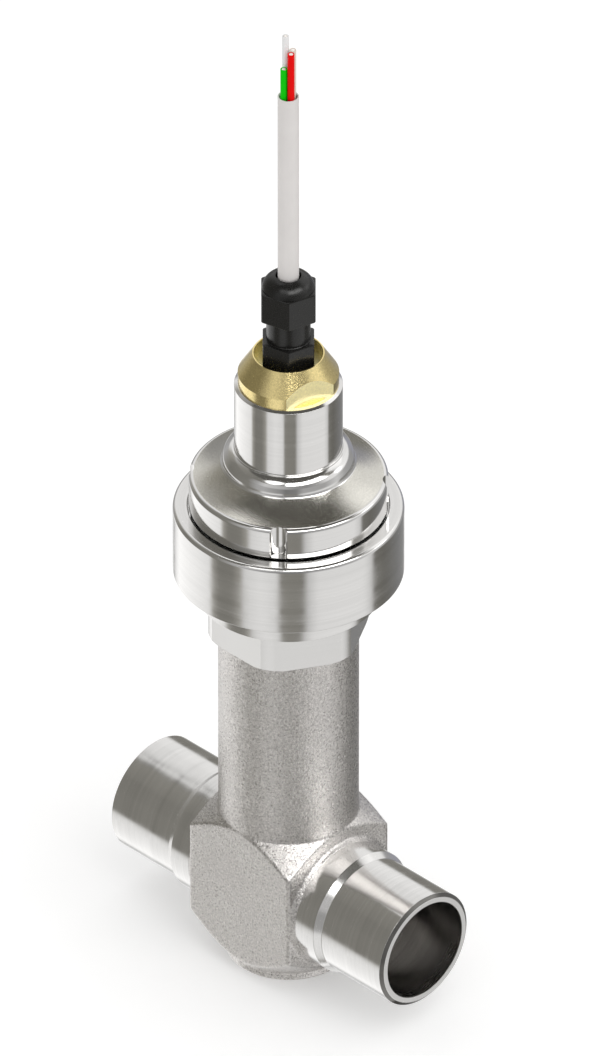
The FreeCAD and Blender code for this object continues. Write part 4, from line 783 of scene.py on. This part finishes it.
def make_gland(black):
    """The gland's body with its lower hexagon and plain neck, and the nut with its domed top."""
    neck = trace([
        (BODY_NECK_R + 0.1, BODY_HIGH),
        (BODY_NECK_R, BODY_HIGH + 0.1),
        (BODY_NECK_R, BODY_NECK_TOP),
    ])
    foot = [(BODY_NECK_R - 0.2, BODY_LOW)]
    body = hexagon("gland_hexagon", BODY_WIDTH, BODY_CORNER, foot, BODY_LOW, BODY_HIGH, neck, black)
    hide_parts("gland_body")
    dome = trace([
        (DOME_FOOT_R, NUT_HIGH),
        (DOME_TOP_R, DOME_TOP, "left", DOME_ROUND),
        (DOME_HOLE_R, DOME_TOP - 0.25, "left", 0.2),
        (DOME_HOLE_R, NUT_HIGH - 0.1),
        (5.6, NUT_HIGH - 1.7),
    ])
    bore = [(NUT_BORE_R, NUT_LOW + 0.3), (NUT_BORE_R, NUT_LOW)]
    nut = hexagon("gland_cap", NUT_WIDTH, NUT_CORNER, bore, NUT_LOW, NUT_HIGH, dome, black)
    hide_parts("gland_nut")


# Cable end

JACKET_BORE_R, JACKET_FLOOR = 2.62, 289.2
CORE_R, CORE_CIRCLE_R, CORE_TURN = 0.975, 1.45, -13.7
CORES = (("red", 14.9), ("grey", 15.0), ("white", 19.3), ("green", 9.6))
WIRE_R, WIRE_HOLE_R, WIRE_HOLE_DEPTH = 0.62, 0.66, 0.5


def make_cable_end(looks):
    """The jacket's cut end with its dark recess, and the four cores with their bare ends."""
    pieces = [lathe("jacket_end", [
        (CABLE_R, CABLE_END - 0.5),
        (CABLE_R, CABLE_END, "ease", 0.12),
        (JACKET_BORE_R, CABLE_END, "ease", 0.08),
        (JACKET_BORE_R, JACKET_FLOOR),
        (0, JACKET_FLOOR),
    ], looks["jacket"], 72)]
    for index, (colour, length) in enumerate(CORES):
        turn = math.radians(CORE_TURN + 90 * index)
        place = beside_z(CORE_CIRCLE_R * math.cos(turn), CORE_CIRCLE_R * math.sin(turn))
        top = CABLE_END + length
        core = lathe(f"insulation_{colour}", [
            (CORE_R, JACKET_FLOOR - 0.2),
            (CORE_R, top, "ease", 0.08),
            (WIRE_HOLE_R, top, "ease", 0.04),
            (WIRE_HOLE_R, top - WIRE_HOLE_DEPTH),
            (0, top - WIRE_HOLE_DEPTH),
        ], looks[colour], 40, place)
        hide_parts(f"core_{colour}")
        wire = lathe(f"strands_{colour}", [
            (WIRE_R, top - WIRE_HOLE_DEPTH - 0.1),
            (WIRE_R, top - 0.04, "ease", 0.06),
            (0, top - 0.01),
        ], looks["tin"], 24, place)
        pieces += [core, wire]
    return pieces


# Studio

# The stops of each ring of light are (degrees to the right of the camera, level, tint), and
# BLENDS says at what heights one ring gives way to the next one up. PANELS are
# ((degrees to the right, height), radius, level).

PALE = (1.0, 0.997, 0.992)
OLIVE = (1.0, 0.97, 0.88)
BLUE = (0.94, 0.95, 1.06)
KEY = 5.5
LOW = (
    (-180, 0.92, PALE), (-165, 0.8, PALE), (-160, 0.45, PALE), (-153, 0.95, PALE), (-140, 1.34, PALE),
    (-110, 1.2, PALE), (-86, 1.05, PALE), (-81, 0.4, OLIVE), (-74, 0.25, OLIVE), (-58, 0.26, OLIVE),
    (-50, 0.4, OLIVE), (-44, 0.88, PALE), (-28, 1.0, PALE), (-12, 0.92, PALE), (-7, 0.3, OLIVE),
    (14, 0.28, OLIVE), (20, 0.75, PALE), (30, 0.96, PALE), (60, 0.98, PALE), (82, 0.98, PALE),
    (91, 0.8, PALE), (96, 0.22, OLIVE), (110, 0.18, OLIVE), (140, 0.24, PALE), (162, 0.3, PALE),
    (172, 0.7, PALE), (180, 0.92, PALE),
)
MIDDLE = (
    (-180, 0.3, OLIVE), (-165, 0.35, PALE), (-145, 0.5, PALE), (-125, 0.34, OLIVE), (-112, 0.24, OLIVE),
    (-68, 0.28, OLIVE), (-52, 0.5, PALE), (-40, 0.55, PALE), (-12, 0.35, PALE), (-4, 0.25, PALE),
    (12, 0.28, PALE), (24, 0.5, PALE), (60, 0.5, PALE), (85, 0.8, PALE), (105, 0.5, PALE),
    (138, 0.4, PALE), (147, 0.42, BLUE), (157, 0.42, BLUE), (165, 0.25, OLIVE), (180, 0.28, OLIVE),
)
UPPER = (
    (-180, 1.05, PALE), (-150, 1.0, PALE), (-140, 0.45, OLIVE), (-118, 0.25, OLIVE), (-72, 0.26, OLIVE),
    (-55, 0.5, PALE), (-40, 0.8, PALE), (-12, 0.6, PALE), (10, 0.4, PALE), (30, 0.35, PALE),
    (50, 0.5, PALE), (70, 1.0, PALE), (108, 1.2, PALE), (128, 1.1, PALE), (148, 1.05, PALE),
    (165, 1.1, PALE), (180, 1.05, PALE),
)
HIGH = (
    (-180, 1.0, PALE), (-150, 0.95, PALE), (-140, 0.6, PALE), (-118, 0.33, OLIVE), (-70, 0.24, OLIVE),
    (-40, 0.27, OLIVE), (-7, 0.35, PALE), (0, KEY, PALE), (74, KEY, PALE), (80, 0.3, OLIVE),
    (96, 0.25, OLIVE), (105, 1.0, PALE), (122, 1.35, PALE), (146, 1.45, PALE), (158, 1.0, PALE),
    (180, 1.0, PALE),
)
TOP = ((-180, 0.14, OLIVE), (0, 0.12, OLIVE), (180, 0.14, OLIVE))
BLENDS = ((-27, -19, MIDDLE), (8, 15, UPPER), (33, 36.5, HIGH), (52.5, 57, TOP))
PANELS = (((-30, 50), 12, 2.2), ((100, 26), 8, 2.5), ((-136, 65), 9, 1.5))
PANEL_EDGES = (1.25, 0.8)
PLAIN_LEVEL = 0.88


def aimed(degrees, height):
    """The direction at this many degrees to the right of the camera and this height."""
    turn, rise = math.radians(degrees), math.radians(height)
    return (math.cos(rise) * math.cos(turn), math.cos(rise) * math.sin(turn), math.sin(rise))


def ramp(tree, place, stops):
    """A ring of light round the valve."""
    made = node(tree, "ShaderNodeValToRGB", {0: place})
    elements = made.color_ramp.elements
    while len(elements) > 1:
        elements.remove(elements[-1])
    for index, (degrees, level, tint) in enumerate(stops):
        at = degrees / 360 + 0.5
        element = elements[0] if index == 0 else elements.new(at)
        element.position = at
        element.color = [level * channel for channel in tint] + [1]
    return made.outputs[0]


def studio_light(tree):
    """The colour of the studio in each direction: rings of light, and round panels in them."""
    direction = node(tree, "ShaderNodeTexCoord").outputs["Generated"]
    sockets = {"Vector": direction, "Angle": math.radians(45)}
    turned = node(tree, "ShaderNodeVectorRotate", sockets, rotation_type="Z_AXIS").outputs[0]
    parts = node(tree, "ShaderNodeSeparateXYZ", {0: turned}).outputs
    circle = maths(tree, "MULTIPLY", maths(tree, "ARCTAN2", parts[1], parts[0]), 1 / (2 * math.pi))
    place = maths(tree, "ADD", circle, 0.5)
    height = maths(tree, "MULTIPLY", maths(tree, "ARCSINE", parts[2]), 180 / math.pi)
    light = ramp(tree, place, LOW)
    for start, full, stops in BLENDS:
        share = ranged(tree, height, start, full, smooth=True)
        light = mixed(tree, share, light, ramp(tree, place, stops))
    for spot, reach, level in PANELS:
        sockets = {0: turned, 1: aimed(*spot)}
        facing = node(tree, "ShaderNodeVectorMath", sockets, operation="DOT_PRODUCT").outputs["Value"]
        edges = [math.cos(math.radians(reach * edge)) for edge in PANEL_EDGES]
        panel = ranged(tree, facing, *edges, smooth=True)
        light = mixed(tree, panel, light, [level * channel for channel in PALE] + [1])
    return light


def make_world():
    """White behind, plain light on dull surfaces, and the studio in the metal."""
    world = bpy.data.worlds.new("studio")
    bpy.context.scene.world = world
    world.use_nodes = True
    world.cycles.sampling_method = "NONE"
    tree = world.node_tree
    tree.nodes.clear()
    studio, plain, white = (
        node(tree, "ShaderNodeBackground", {"Color": colour, "Strength": strength}).outputs[0]
        for colour, strength in ((studio_light(tree), 1.0), ((*PALE, 1), PLAIN_LEVEL), ((1, 1, 1, 1), 1.0))
    )
    path = node(tree, "ShaderNodeLightPath").outputs
    seen = maths(tree, "MAXIMUM", path["Is Camera Ray"], path["Is Transmission Ray"])
    inner = node(tree, "ShaderNodeMixShader", {0: path["Is Glossy Ray"], 1: plain, 2: studio}).outputs[0]
    outer = node(tree, "ShaderNodeMixShader", {0: seen, 1: inner, 2: white}).outputs[0]
    node(tree, "ShaderNodeOutputWorld", {"Surface": outer})


# Floor and lamp, in metres

FLOOR_REACH, FLOOR_HEIGHT = 3.0, -0.00005
FLOOR_GLOW = 0.2
LAMP_SIZE, LAMP_POWER = 0.7, 1.1
LAMP_AIM = Vector((0, 0, 0.12))
LAMP_OFFSET = Vector((0.55, -0.1, 0.7))


def make_floor():
    """A pale floor that keeps the valve's shadow and otherwise meets the white behind."""
    mesh = bpy.data.meshes.new("floor")
    signs = ((-1, -1), (1, -1), (1, 1), (-1, 1))
    corners = [(x * FLOOR_REACH, y * FLOOR_REACH, FLOOR_HEIGHT) for x, y in signs]
    mesh.from_pydata(corners, [], [(0, 1, 2, 3)])
    floor = bpy.data.objects.new("floor", mesh)
    bpy.context.scene.collection.objects.link(floor)
    floor.visible_glossy = False
    material, tree, shader = new_material("pale_floor", roughness=0.9, specular_ior_level=0.0)
    speckle = grain(tree, object_vector(tree), 40.0)
    tint = mixed(tree, speckle, (0.93, 0.93, 0.93, 1), (0.95, 0.95, 0.95, 1))
    tree.links.new(tint, shader.inputs["Base Color"])
    seen = node(tree, "ShaderNodeLightPath").outputs["Is Camera Ray"]
    strength = maths(tree, "MULTIPLY", seen, FLOOR_GLOW)
    glow = node(tree, "ShaderNodeEmission", {"Color": (1, 1, 1, 1), "Strength": strength})
    both = node(tree, "ShaderNodeAddShader", {0: shader.outputs[0], 1: glow.outputs[0]}).outputs[0]
    tree.links.new(both, tree.nodes["Material Output"].inputs["Surface"])
    mesh.materials.append(material)


def make_lamp():
    """One large soft lamp."""
    lamp = bpy.data.lights.new("softbox", "AREA")
    lamp.shape = "DISK"
    lamp.size = LAMP_SIZE
    lamp.energy = LAMP_POWER
    softbox = bpy.data.objects.new("softbox", lamp)
    bpy.context.scene.collection.objects.link(softbox)
    softbox.location = LAMP_AIM + LAMP_OFFSET
    softbox.rotation_mode = "QUATERNION"
    softbox.rotation_quaternion = (LAMP_AIM - softbox.location).to_track_quat("-Z", "Y")
    softbox.visible_glossy = False


# The whole valve

bpy.context.scene.view_settings.view_transform = "Standard"
make_camera()
looks = make_materials()
cable = make_cable(looks["jacket"])
cable_pieces = make_cable_end(looks)
for part in frame["record"]["subparts"]:
    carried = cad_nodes[part["node"]]
    carried.data.materials.clear()
    carried.data.materials.append(looks[SLOT_MATERIALS[part["material_slot"]]])
make_casting(looks["cast"])
for end, side in (("outlet", 1), ("inlet", -1)):
    make_pipe_end(f"pipe_end_{end}", side, looks["pipe"], looks["bore"], looks["bevel"])
make_bonnet(looks["turned"], looks["brushed"])
make_housing(looks["polished"], looks["grainy"])
make_adapter(looks["brass"], looks["brass_flat_painted_light"])
make_gland(looks["black"])
make_world()
make_floor()
make_lamp()
